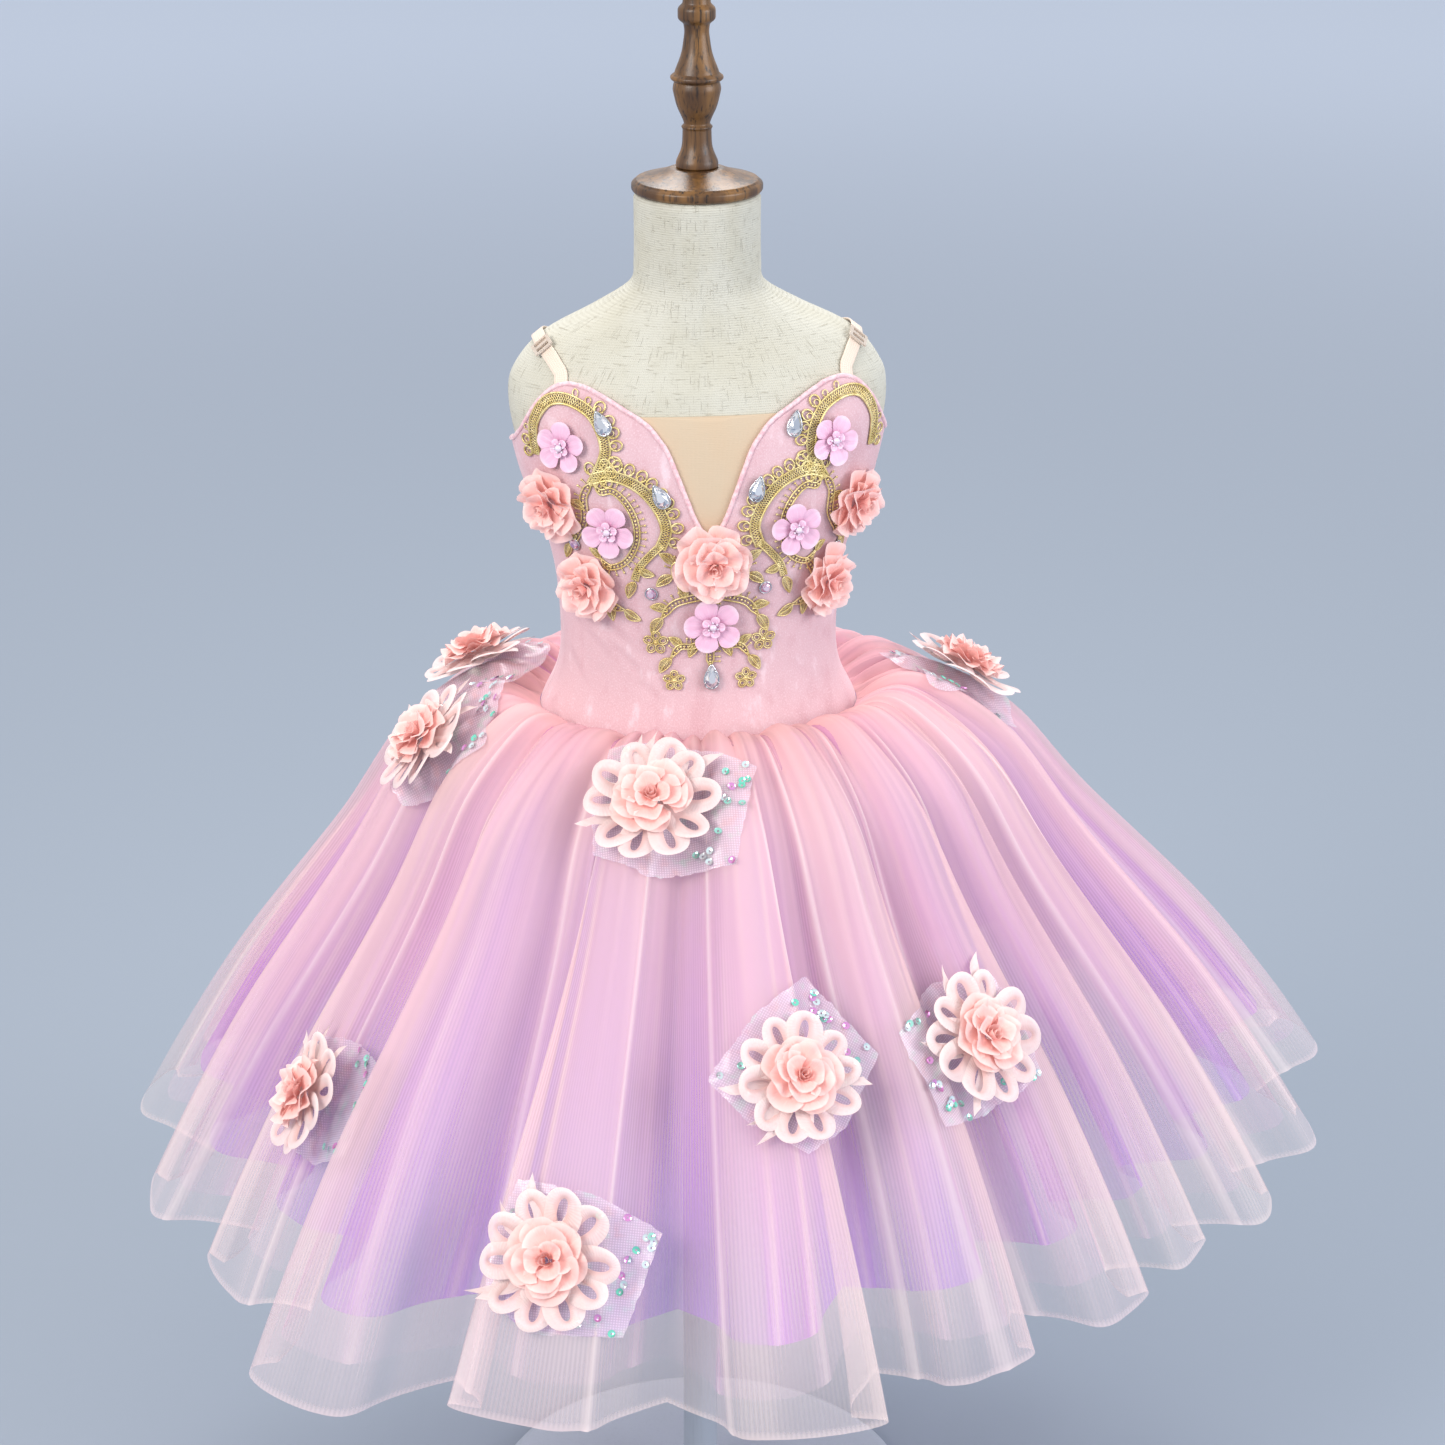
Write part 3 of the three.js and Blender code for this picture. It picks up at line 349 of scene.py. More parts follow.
# Natural linen, plain woven and undyed: matt, with thick slub threads in both directions.
def slubbed_linen():
    material, tree, finish = start_material("cream_slub_linen", Roughness=0.92, IOR=1.47,
                                            Sheen_Weight=0.15)
    place, across, up = cloth_place(tree)
    weave = plain_weave(tree, across, up, thread_pitch)
    slubs = []
    for wide, tall in ((slub_long, slub_thick), (slub_thick, slub_tall)):
        streaks = stretched_noise(tree, place, (wide, tall, 1))
        slubs.append(add(tree, "MapRange", {0: streaks, 1: 0.60, 2: 0.72},
                         interpolation_type="SMOOTHSTEP"))
    slubs = add(tree, "Math", {0: slubs[0], 1: slubs[1]}, operation="MAXIMUM")
    cloudy = stretched_noise(tree, place, (40, 40, 1))
    tone = tinted(tree, linen_pale, linen_dark, cloudy, 0.3, 0.7, 0, 0.28)
    threads = add(tree, "Math", {0: weave, 1: 0.22}, operation="MULTIPLY")
    tone = add(tree, "Mix", {0: threads, 6: tone, 7: linen_dark}, 2, data_type="RGBA")
    marks = add(tree, "Math", {0: slubs, 1: 0.45}, operation="MULTIPLY")
    tone = add(tree, "Mix", {0: marks, 6: tone, 7: linen_slub}, 2, data_type="RGBA")
    height = add(tree, "Math", {0: weave, 1: slubs}, operation="ADD")
    relief = add(tree, "Bump", {"Height": height, "Distance": 0.22 * metre})
    fill(finish, {"Base Color": tone, "Normal": relief})
    return material


def make_torso():
    """The closed torso, its cover sunk a little along each seam and rounded at the neck's rim."""
    around, levels = 145, 150
    seam_width, seam_depth = 1.6, 0.7
    side_seams, shoulder, seam_fade = (270, 450), 905, 40
    rim_round, rim_drop = 2, 1.5
    cover_radius = 90
    turns = np.linspace(180, 540, around)[:, None]
    ups = np.linspace(torso_bottom, neck_top, levels)[None, :]
    girth = np.linalg.norm(form_skin(turns, ups)[..., :2], axis=-1)
    dent = np.zeros_like(girth)
    for seam in (180, 270, 360, 450, 540):
        fade = np.clip((shoulder - ups) / seam_fade, 0, 1) if seam in side_seams else 1
        dent += fade * soft_line(girth * np.radians(turns - seam), seam_width) * seam_depth
    dent += rim_drop * np.clip((ups - (neck_top - rim_round)) / rim_round, 0, 1) ** 2
    points = on_form(turns, ups, -dent)
    uv = np.stack([np.radians(turns) * cover_radius + 0 * ups, ups + 0 * turns], -1)
    rings = points.reshape(-1, 3)
    faces = grid_faces(around, levels)
    low, high = len(rings), len(rings) + 1
    for i in range(around - 1):
        faces.append((low, (i + 1) * levels, i * levels))
        faces.append((high, i * levels + levels - 1, (i + 1) * levels + levels - 1))
    ends = [[0, 0, torso_bottom], [0, 0, neck_top]]
    uv = np.vstack([uv.reshape(-1, 2), [[0, torso_bottom], [0, neck_top]]])
    torso = make_piece("linen_torso", np.vstack([rings, ends]), faces, slubbed_linen(), uv)
    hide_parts("form_torso")


make_torso()


# Cap and finial
# A shallow turned disc covers the top of the neck, and a turned finial stands on it: a foot, a
# slim waist, a pear, a ring, a long neck, a collar and a knob, all of the same stained wood.
cap_bottom = neck_top + joint_gap
cap_top = cap_bottom + 16
finial_foot = cap_top + joint_gap
cap = turned("neck_cap", rounded_profile([
    (6, cap_bottom, 0), (41, cap_bottom, 0.8), (43.2, cap_bottom + 2, 1.6), (43.2, cap_bottom + 6, 1.8),
    (41.0, cap_bottom + 7.6, 0.8), (40.2, cap_bottom + 8.6, 0.6), (34, cap_bottom + 10, 4),
    (24, cap_bottom + 13.2, 5), (17, cap_top, 1.5), (6, cap_top, 0)]), hardwood, 96)
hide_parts("form_cap")
finial_corners = [
    # radius, rise above the cap, rounding
    (4, 0, 0), (14, 0, 1), (13.8, 4, 1.5), (9.8, 13, 6), (9.4, 25, 3), (10.4, 26.5, 0.7), (8.4, 28.5, 0.8),
    (9.6, 32, 3), (13.4, 40, 6), (15.9, 51, 4), (15.2, 54.5, 0.6), (14.6, 55.5, 0.4), (17.3, 57.6, 1.4),
    (17.3, 59.4, 1.4), (14.6, 61.4, 0.6), (14.2, 63, 1), (9.8, 74, 8), (7.9, 88, 6), (8.6, 93, 1),
    (12.3, 96, 1.6), (12.3, 103, 1.6), (9.2, 106, 0.8), (8.6, 112, 4), (9.6, 120, 3), (14.4, 129, 5),
    (15.6, 138, 5), (12.4, 147, 4), (5.4, 152.4, 2), (1, 153, 0)]
finial = turned("finial", rounded_profile([(r, finial_foot + rise, c) for r, rise, c in finial_corners]),
                hardwood, 64)
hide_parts("form_finial")


# Insert of the neckline
# A straight-topped triangle of nude stretch power mesh, cut on the fold and sewn behind the two
# cups, so that it fills the deep V without showing an edge of its own but the top one.
front_edge = [
    # turn from the centre front, height of the velvet's top edge
    (0, 788), (4, 790), (8, 799), (12, 813), (17, 830), (22, 846), (30, 860), (35.5, 865.5), (41, 870),
    (50, 878), (57, 883), (63.5, 884.7), (67.5, 881), (70.5, 870), (74.5, 854), (81, 843), (90, 837)]
back_edge = [
    (90, 837), (98, 833), (106, 828), (114, 822), (122, 817), (130, 812.5), (138, 808.5), (147, 805),
    (157, 802), (168, 800.5), (180, 800)]
insert_off, insert_thick = 0.4, 0.9
insert_top = 867
insert_reach = 36
insert_tuck = 9                 # how far it runs down behind the cups
worn_radius = 95                # turns an angle on the bodice into a length of cloth
mesh_skin = "#d0bca1"
mesh_shade = "#d6b48f"
mesh_hole_pitch = 1.1           # real holes are 0.5 mm apart, drawn coarser to show as a fine grain


def front_top(turn):
    """Height of the bodice's top edge in front."""
    return np.interp(np.abs(turn), *np.array(front_edge).T)


def back_top(turn):
    """Height of the bodice's top edge behind, the same on both sides."""
    return np.interp(180 - np.abs(180 - turn), *np.array(back_edge).T)


def wall(outer, inner):
    """Closed wall between two grids of points, with its rim faces."""
    columns, rows = outer.shape[:2]
    count = columns * rows
    faces = grid_faces(columns, rows)
    faces += [face[::-1] for face in grid_faces(columns, rows, count)]
    ring = [i * rows for i in range(columns)]
    ring += [(columns - 1) * rows + j for j in range(1, rows)]
    ring += [i * rows + rows - 1 for i in range(columns - 2, -1, -1)]
    ring += [j for j in range(rows - 2, 0, -1)]
    faces += [(b, a, a + count, b + count) for a, b in zip(ring, ring[1:] + ring[:1])]
    return np.concatenate([outer.reshape(-1, 3), inner.reshape(-1, 3)]), faces


def cloth_wall(name, turns, bottom, top, rows, off, thick, material, relief=None):
    """A panel of worn cloth on the form, its top and bottom edges given for each turn."""
    turns = np.asarray(turns, float)[:, None]
    shares = np.linspace(0, 1, rows)[None, :]
    ups = bottom(turns) * (1 - shares) + top(turns) * shares
    raised = 0 if relief is None else relief(turns, ups)
    outer = on_form(turns, ups, off + thick + raised)
    inner = on_form(turns, ups, off + 0 * ups)
    uv = np.stack([np.radians(turns) * worn_radius + 0 * ups, ups], -1)
    points, faces = wall(outer, inner)
    return make_piece(name, points, faces, material, np.concatenate([uv, uv]).reshape(-1, 2))


# Nylon and elastane power mesh: skin coloured, matt and slightly grainy, lying flat.
def power_mesh():
    material, tree, finish = start_material("nude_power_mesh", Roughness=0.8, IOR=1.5, Sheen_Weight=0.2)
    place, across, up = cloth_place(tree)
    holes = plain_weave(tree, across, up, mesh_hole_pitch)
    cloudy = stretched_noise(tree, place, (30, 50, 1))
    clouds = add(tree, "MapRange", {0: cloudy, 1: 0.35, 2: 0.7, 3: 0, 4: 0.16},
                 interpolation_type="SMOOTHSTEP")
    amount = add(tree, "Math", {0: holes, 1: 0.22, 2: clouds}, operation="MULTIPLY_ADD")
    tone = add(tree, "Mix", {0: amount, 6: mesh_skin, 7: mesh_shade}, 2, data_type="RGBA")
    relief = add(tree, "Bump", {"Height": holes, "Distance": 0.08 * metre})
    fill(finish, {"Base Color": tone, "Normal": relief})
    return material


def insert_bottom(turn):
    return np.minimum(front_top(turn), insert_top) - insert_tuck


insert = cloth_wall("neckline_insert", np.linspace(-insert_reach, insert_reach, 73), insert_bottom,
                    lambda turn: insert_top + 0 * turn, 24, insert_off, insert_thick, power_mesh())
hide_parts("bodice_insert")


# Bodice
# Front and back of stretch velvet, sewn at the sides. It is cut smaller than the form, so it lies
# tight, with a few drag creases at the waist and under the arms where the skirt pulls on it.
velvet_off, velvet_thick = 1.7, 1.5
velvet_bottom = 638
side_turn = 90                  # where the side seams lie, with a gap on each side of them
side_gap = 0.1
velvet_pink = "#dfb9bf"
velvet_deep = "#d3a4ab"
velvet_sheen = "#fbe9f0"
bodice_creases = [
    # turn and height of one end, turn and height of the other, width, rise
    (-62, 742, -34, 706, 4.0, 1.1),
    (-70, 728, -44, 694, 3.4, 0.9),
    (-52, 716, -30, 684, 3.0, 0.7),
    (-78, 706, -56, 672, 4.2, 0.9),
    (-40, 690, -20, 668, 3.2, 0.6),
    (52, 724, 72, 690, 4.0, 0.8),
    (66, 742, 84, 712, 3.6, 0.8),
    (38, 700, 56, 672, 3.4, 0.6),
    (-84, 812, -66, 776, 4.0, 0.7),
    (70, 790, 86, 818, 4.0, 0.7),
    (10, 684, 34, 668, 3.0, 0.5),
    (104, 742, 128, 700, 4.4, 0.9),
    (112, 780, 140, 752, 4.0, 0.7),
    (150, 716, 178, 690, 4.2, 0.8),
    (192, 728, 216, 700, 4.0, 0.7),
    (224, 744, 250, 706, 4.4, 0.9),
    (228, 786, 246, 762, 3.8, 0.7),
    (168, 680, 190, 666, 3.0, 0.5),
]


def crease_relief(turns, ups):
    """Soft ridges along the listed creases, each with a shallow trough below it."""
    degree = 1.65               # one degree of turn, in millimetres of velvet
    raised = np.zeros(np.broadcast(turns, ups).shape)
    for turn_a, up_a, turn_b, up_b, width, rise in bodice_creases:
        middle = (turn_a + turn_b) / 2
        shift = 360 * round((np.mean(turns) - middle) / 360)
        x = (turns - turn_a - shift) * degree
        z = ups - up_a
        run = np.array([(turn_b - turn_a) * degree, up_b - up_a])
        length = np.linalg.norm(run)
        run = run / length
        along = (x * run[0] + z * run[1]) / length
        away = x * run[1] - z * run[0] + 5 * np.sin(along * 3.0)
        fade = np.sin(np.pi * np.clip(along, 0, 1)) ** 1.5
        raised += rise * fade * (soft_line(away, width) - 0.6 * soft_line(away - 1.9 * width, width))
    return raised


# Stretch velvet: a short dense pile, dull when seen straight on and pale and bright where it turns
# away. Its crushed nap carries painted sheen and shade: patches painted lighter or darker, and a
# fine pale speckle painted over the pile.
def stretch_velvet():
    material, tree, finish = start_material(
        "pink_stretch_velvet", Roughness=0.85, IOR=1.45, Specular_IOR_Level=0.25,
        Sheen_Weight=0.9, Sheen_Roughness=0.35, Sheen_Tint=velvet_sheen)
    place, _, _ = cloth_place(tree)
    nap_sheen = stretched_noise(tree, place, (16, 34, 1), 4.0, 0.6)
    pile = stretched_noise(tree, place, (0.9, 1.3, 1), 2.0)
    # Painted sheen and shade of the crushed nap: some patches darker, others and a speckle on the pile
    # paler.
    tone = tinted(tree, velvet_pink, velvet_deep, nap_sheen, 0.3, 0.5, 0.55, 0)
    tone = tinted(tree, tone, velvet_sheen, nap_sheen, 0.56, 0.7, 0, 0.4)
    tone = tinted(tree, tone, velvet_sheen, pile, 0.45, 0.75, 0, 0.35)
    relief = add(tree, "Bump", {"Height": pile, "Distance": 0.18 * metre})
    fill(finish, {"Base Color": tone, "Normal": relief})
    return material


velvet = stretch_velvet()


def low_edge(turn):
    return velvet_bottom + 0 * turn


front_turns = np.linspace(-side_turn + side_gap, side_turn - side_gap, 181)
back_turns = np.linspace(side_turn + side_gap, 360 - side_turn - side_gap, 181)
velvet_front = cloth_wall("velvet_front", front_turns, low_edge, front_top, 90,
                          velvet_off, velvet_thick, velvet, crease_relief)
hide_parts("bodice_front")
velvet_back = cloth_wall("velvet_back", back_turns, low_edge, back_top, 72,
                         velvet_off, velvet_thick, velvet, crease_relief)
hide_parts("bodice_back")


# Bindings of the neckline
# A narrow strip of the same velvet, folded round an elastic cord and sewn along the top edges, so
# that it stands up as a smooth pale roll, a little tight and puckered at the V and the cup tips.
binding_radius = 1.6
binding_off = 2.9
binding_gap = 0.6               # degrees that the back binding starts behind the side seams
binding_rise = 0.7              # how far its middle lies beyond the velvet's edge
binding_ease = np.ones(9) / 9   # rounds its path over nine steps where the edge turns
binding_pucker = 0.07
binding_pale = "#f8d6da"
binding_shade = "#eab4bd"


def ring_faces(rings, around, closed):
    """Quads between rings of points stored ring by ring, and if closed one flat face at each end."""
    faces = []
    for a in range(0, (rings - 1) * around, around):
        b = a + around
        faces += [(a + i, a + (i + 1) % around, b + (i + 1) % around, b + i) for i in range(around)]
    if closed:
        faces.append(tuple(range(around))[::-1])
        faces.append(tuple((rings - 1) * around + i for i in range(around)))
    return faces


def tube(path, radius, sides=8, side_hint=(0.0, 0.0, 1.0)):
    """Points and faces of a round cord along a path, each end closed by one flat face."""
    path = np.asarray(path, float)
    run = unit(np.gradient(path, axis=0))
    across = unit(np.cross(run, np.asarray(side_hint, float)))
    lift = np.cross(across, run)
    angles = np.arange(sides) / sides * 2 * np.pi
    radius = np.broadcast_to(np.asarray(radius, float), (len(path),))[:, None, None]
    ring = np.cos(angles)[None, :, None] * across[:, None, :]
    ring = ring + np.sin(angles)[None, :, None] * lift[:, None, :]
    points = (path[:, None, :] + radius * ring).reshape(-1, 3)
    return points, ring_faces(len(path), sides, True)


def gather_parts(parts):
    """Several point and face lists as one."""
    points, faces, start = [], [], 0
    for part_points, part_faces in parts:
        points.append(np.asarray(part_points, float).reshape(-1, 3))
        faces += [tuple(i + start for i in face) for face in part_faces]
        start += len(points[-1])
    return np.concatenate(points), faces


# Rolled velvet binding: smooth and satiny along the roll, paler than the panels.
def rolled_binding():
    material, tree, finish = start_material("rolled_velvet_binding", Roughness=0.6, IOR=1.45,
                                            Sheen_Weight=0.7, Sheen_Tint=velvet_sheen)
    puckers = through_piece(tree, 100 / 33, 100 / 33, 3.0)
    relief = add(tree, "Bump", {"Height": puckers, "Distance": 0.35 * metre})
    fill(finish, {"Base Color": tinted(tree, binding_pale, binding_shade, puckers, 0.35, 0.7),
                  "Normal": relief})
    return material


binding_velvet = rolled_binding()


def make_binding(name, turns, top, node):
    """A roll along an edge of the velvet, a little uneven in thickness."""
    ups = top(turns)
    ups[4:-4] = np.convolve(ups, binding_ease, "valid")
    edge = on_form(turns, ups, binding_off + 0 * ups)
    run = unit(np.gradient(edge, axis=0))
    out = form_frame(turns, ups)[2]
    beyond = unit(np.cross(out, run))
    path = edge + beyond * binding_rise
    thick = binding_radius * (1 + binding_pucker * np.sin(turns * 2.9) * np.sin(turns * 1.3 + 1))
    points, faces = tube(path, thick, 10)
    piece = make_piece(name, points, faces, binding_velvet)
    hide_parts(node)


front_roll = np.linspace(-side_turn + side_gap, side_turn - side_gap, 400)
back_roll = np.linspace(side_turn + binding_gap, 360 - side_turn - binding_gap, 300)
make_binding("front_binding", front_roll, front_top, "binding_front")
make_binding("back_binding", back_roll, back_top, "binding_back")


# Shoulder straps
# Two nude elastic tapes from the tips of the cups over the shoulders to the back edge, each with a
# clear moulded slider near the front that sets its length.
strap_route = [
    # step along the route, turn, height
    (0, 67, 889.3), (1, 69.5, 893.5), (2, 73.5, 898.3), (3, 79.5, 903), (4, 87.5, 906.5), (5, 97, 905),
    (6, 107, 899), (7, 116, 890), (8, 123, 878), (9, 128, 862), (10, 131, 845), (11, 133, 828),
    (12, 134, 817)]
strap_tuck = (-1, 64.5, 880)    # its foot is sewn inside the cup
strap_width, strap_thick, strap_gap, strap_tuck_gap = 9.3, 1.2, 1.0, 0.3
elastic_rib, elastic_pick = 1.5, 1.3    # real ones are about 0.8 mm apart, drawn coarser to show
strap_nude = "#efdccb"
strap_deep = "#d9bda6"


# Braided elastic: flat and slightly glossy, with fine ribs along its length.
def nude_elastic():
    material, tree, finish = start_material("nude_braided_elastic", Roughness=0.5, IOR=1.5,
                                            Sheen_Weight=0.2)
    _, across, along = cloth_place(tree)
    ribs = stripes(tree, across, elastic_rib)
    picks = stripes(tree, along, elastic_pick)
    weave = add(tree, "Math", {0: ribs, 1: picks}, operation="MULTIPLY")
    amount = add(tree, "Math", {0: weave, 1: 0.5}, operation="MULTIPLY")
    tone = add(tree, "Mix", {0: amount, 6: strap_nude, 7: strap_deep}, 2, data_type="RGBA")
    relief = add(tree, "Bump", {"Height": weave, "Distance": 0.12 * metre})
    fill(finish, {"Base Color": tone, "Normal": relief})
    return material


elastic = nude_elastic()


def make_strap(name, hand, node):
    """A flat tape with a slightly crowned face, laid along the strap's route."""
    steps = 96
    route = [strap_tuck] + strap_route
    places = np.linspace(route[0][0], route[-1][0], steps)
    turns, ups = smooth_rows(route, places).T
    gap = strap_tuck_gap + (strap_gap - strap_tuck_gap) * np.clip(places + 0.5, 0, 1)
    middle = on_form(hand * turns, ups, gap + strap_thick / 2)
    out = form_frame(hand * turns, ups)[2]
    run = unit(np.gradient(middle, axis=0))
    side = unit(np.cross(out, run))
    out = np.cross(run, side)
    w, h, edge = strap_width / 2, strap_thick / 2, 0.4
    ring = np.array([
        (-w, -h / 2), (edge - w, -h), (w - edge, -h), (w, -h / 2), (w, h / 2), (w - edge, h),
        (w / 2, h * 0.9), (0, h), (-w / 2, h * 0.9), (edge - w, h), (-w, h / 2)])
    points = middle[:, None] + ring[None, :, :1] * side[:, None] + ring[None, :, 1:] * out[:, None]
    count = len(ring)
    length = np.concatenate([[0], np.cumsum(np.linalg.norm(np.diff(middle, axis=0), axis=1))])
    uv = np.stack(np.broadcast_arrays(ring[None, :, 0], length[:, None]), -1)
    piece = make_piece(name, points, ring_faces(steps, count, True), elastic, uv)
    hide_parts(node)


make_strap("elastic_strap_left", -1, "strap_left")
make_strap("elastic_strap_right", 1, "strap_right")


# Moulded nylon slider: clear with a nude tint, glossy, with softened edges.
def clear_nylon():
    material, tree, finish = start_material("clear_moulded_nylon", Roughness=0.22, IOR=1.53,
                                            Transmission_Weight=0.35, Coat_Weight=0.4)
    flow = through_piece(tree, 5, 5)
    tone = add(tree, "Mix", {0: flow, 6: "#f6ebdf", 7: "#e7d0bb"}, 2, data_type="RGBA")
    relief = add(tree, "Bump", {"Height": flow, "Distance": 0.05 * metre})
    fill(finish, {"Base Color": tone, "Normal": relief})
    return material


nylon = clear_nylon()
slider_edge = 0.35
for node_name in ("strap_slider_left", "strap_slider_right"):
    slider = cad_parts[node_name]
    slider.data.materials.clear()
    slider.data.materials.append(nylon)
    softened = slider.modifiers.new("soft edges", "BEVEL")
    softened.width = slider_edge * metre
    softened.segments = 2


# Gold lace
# Guipure of metallic cord: an arch over each cup, a net band down the V, a beaded scroll and leaf
# sprays, worked as one flat piece per cup and one for the centre, and stitched to the velvet.
velvet_top = velvet_off + velvet_thick
lace_gap = 0.6
lace_thick = 1.1
cord_off = velvet_top + lace_gap + lace_thick / 2
edge_cord, fine_thread, stout_cord = 0.6, 0.36, 0.85
picot_pitch, picot_long, picot_deep = 7.0, 3.3, 4.0
picot_room = 0.8                # what a loop keeps clear below the velvet's edge
net_pitch = 6.4
spike_long = 3.9
cord_step, net_step = 1.3, 0.8  # spacing of the points along a cord and along the net
gold_bright = "#f8e7ac"
gold_deep = "#dcc47c"
cup_bands = [
    # width, side of the loops, route as distance across the cloth from the centre front and height
    (8, -1, [(119, 838), (119, 858), (108, 873), (94, 876), (79, 870), (71, 859), (68, 845), (73, 831),
             (78, 822)]),
    (8, -1, [(78, 826), (68, 829), (56, 827), (44, 820), (34, 808), (29, 794), (33, 781)]),
    (6, 0, [(32, 784), (40, 776), (47, 767), (50, 758)]),
]
cup_scrolls = [
    # width, side of the spikes, route
    (5, -1, [(76, 823), (72, 818), (64, 819), (55, 811), (49, 798), (49, 784), (56, 771), (67, 766),
             (74, 772)]),
    (6, 1, [(78, 824), (84, 814), (84, 798), (91, 786), (97, 777)]),
    (6, 1, [(66, 768), (73, 758), (75, 748), (68, 739), (57, 736)]),
]
centre_scrolls = [
    # width and route of the middle stem, then of the scrolls on each side of it
    (6, [(0, 764), (0, 730), (0, 697)]),
    (6, [(0, 756), (10, 768), (22, 770), (25, 762)]),
    (6, [(0, 748), (12, 746), (24, 742), (32, 732)]),
    (5, [(0, 722), (10, 712), (20, 711), (26, 703)]),
]
cup_leaves = [
    # foot across and up, direction in degrees from straight outward, length, width
    (97, 778, -62, 13, 6.5),
    (91, 785, -8, 12, 6),
    (84, 806, 18, 12, 6),
    (57, 736, -150, 13, 6.5),
    (66, 739, -95, 12, 6),
    (50, 757, -70, 13, 6.5),
    (47, 766, -160, 11, 5.5),
    (74, 772, 40, 10, 5),
    (76, 747, -25, 12, 6),
]
centre_leaves = [
    (25, 762, -35, 13, 6.5),
    (14, 769, 70, 11, 5.5),
    (24, 771, 35, 12, 6),
    (32, 732, -62, 14, 7),
    (28, 738, 8, 12, 6),
    (16, 746, 60, 11, 5.5),
    (26, 703, -55, 13, 6.5),
    (19, 711, 40, 11, 5.5),
    (8, 714, -60, 12, 6),
]
centre_blossoms = [(36, 714, 8), (24, 687, 7)]      # across, up, reach

ups_known = np.arange(640.0, 900.0, 2.0)
turns_known = np.arange(0.0, 110.0, 0.5)
ring_points = on_form(turns_known[None, :], ups_known[:, None], velvet_top)
ring_steps = np.linalg.norm(np.diff(ring_points, axis=1), axis=-1)
ring_lengths = np.concatenate([np.zeros((len(ups_known), 1)), np.cumsum(ring_steps, axis=1)], axis=1)
across_known = np.arange(0.0, 165.0, 1.0)
turn_table = np.array([np.interp(across_known, row, turns_known) for row in ring_lengths])


def cloth_turn(across, up):
    """Turn that lies this far round the velvet from the centre front."""
    across, up = np.broadcast_arrays(np.asarray(across, float), np.asarray(up, float))
    x = np.clip(np.abs(across), 0, across_known[-1] - 1.001)
    z = np.clip((up - ups_known[0]) / 2, 0, len(ups_known) - 1.001)
    i, k = x.astype(int), z.astype(int)
    low = turn_table[k, i] * (1 - (x - i)) + turn_table[k, i + 1] * (x - i)
    high = turn_table[k + 1, i] * (1 - (x - i)) + turn_table[k + 1, i + 1] * (x - i)
    return np.sign(across) * (low * (1 - (z - k)) + high * (z - k))


def flat_curve(route, step):
    """Dense smooth path through the points of a route in the plane of the cloth."""
    route = np.array(route, float)
    run = np.concatenate([[0], np.cumsum(np.linalg.norm(np.diff(route, axis=0), axis=1))])
    count = max(3, int(round(run[-1] / step)) + 1)
    return smooth_rows(np.column_stack([run, route]), np.linspace(0, run[-1], count))


def flat_normals(path):
    """Directions across a path in the plane of the cloth."""
    run = unit(np.gradient(path, axis=0))
    return np.stack([-run[:, 1], run[:, 0]], -1)


def flat_loop(centre, along, over):
    """A closed oval in the plane of the cloth, from its two half axes."""
    angles = np.linspace(0, 2 * np.pi, 15)[:, None]
    return centre + np.cos(angles) * along + np.sin(angles) * over


def laid_cord(path, hand, radius, sides=6, off=cord_off):
    """A cord along a path in the plane of the cloth, laid on the bodice."""
    turns = cloth_turn(path[:, 0] * hand, path[:, 1])
    points = on_form(turns, path[:, 1], off + 0 * turns)
    return tube(points, radius, sides, form_frame(turns, path[:, 1])[2])


def ball(centre, radius, rows=5, around=8, squash=1.0, out=(0, 0, 1)):
    """A bead as a small globe."""
    out = unit(np.array(out, float))
    side = unit(np.cross(out, (0.3, 0.9, 0.31)))
    rise = np.cross(out, side)
    levels = np.linspace(-np.pi / 2, np.pi / 2, rows + 2)[1:-1]
    angles = np.arange(around) / around * 2 * np.pi
    points = []
    for level in levels:
        for angle in angles:
            flat = math.cos(level) * (math.cos(angle) * side + math.sin(angle) * rise)
            points.append(centre + radius * (flat + squash * math.sin(level) * out))
    points += [centre - radius * squash * out, centre + radius * squash * out]
    faces = ring_faces(rows, around, False)
    low, high = rows * around, rows * around + 1
    for i in range(around):
        after = (i + 1) % around
        faces.append((low, after, i))
        faces.append((high, (rows - 1) * around + i, (rows - 1) * around + after))
    return np.array(points), faces


def laid_bead(across, up, hand, radius, off=cord_off):
    turn = cloth_turn(across * hand, up)
    return ball(on_form(turn, up, off), radius, 4, 7, 0.8, form_frame(turn, up)[2])


def net_band(route, width, hand, picots):
    """A band with a cord on each edge, a crossed net between them and loops along one side."""
    path = flat_curve(route, cord_step)
    normals = flat_normals(path)
    half = width / 2 - 0.8
    parts = [laid_cord(path + normals * half, hand, stout_cord if picots < 0 else edge_cord),
             laid_cord(path - normals * half, hand, stout_cord if picots > 0 else edge_cord)]
    fine = flat_curve(route, net_step)
    run = np.arange(len(fine)) * net_step
    for shift in (0, 0.25, 0.5, 0.75):
        wave = np.abs(((run / net_pitch + shift) % 1) * 2 - 1) * 2 - 1
        bent = fine + flat_normals(fine) * (half * wave)[:, None]
        over_under = cord_off + 0.25 * np.cos(run * 1.96 + shift * 9)
        parts.append(laid_cord(bent, hand, fine_thread, 4, over_under))
    if not picots:
        return parts
    for at in np.arange(3.0, run[-1] - 2, picot_pitch):
        k = min(int(round(at / cord_step)), len(path) - 2)
        along = unit(path[k + 1] - path[k])
        for share, radius in ((1.0, 0.7), (0.55, 0.45)):
            centre = path[k] + normals[k] * picots * (half + picot_deep * share)
            ring = flat_loop(centre, picot_long * share * along, picot_deep * share * normals[k])
            room = front_top(cloth_turn(ring[:, 0], ring[:, 1])) - ring[:, 1]
            if room.min() > picot_room:
                parts.append(laid_cord(ring, hand, radius, 5))
    return parts


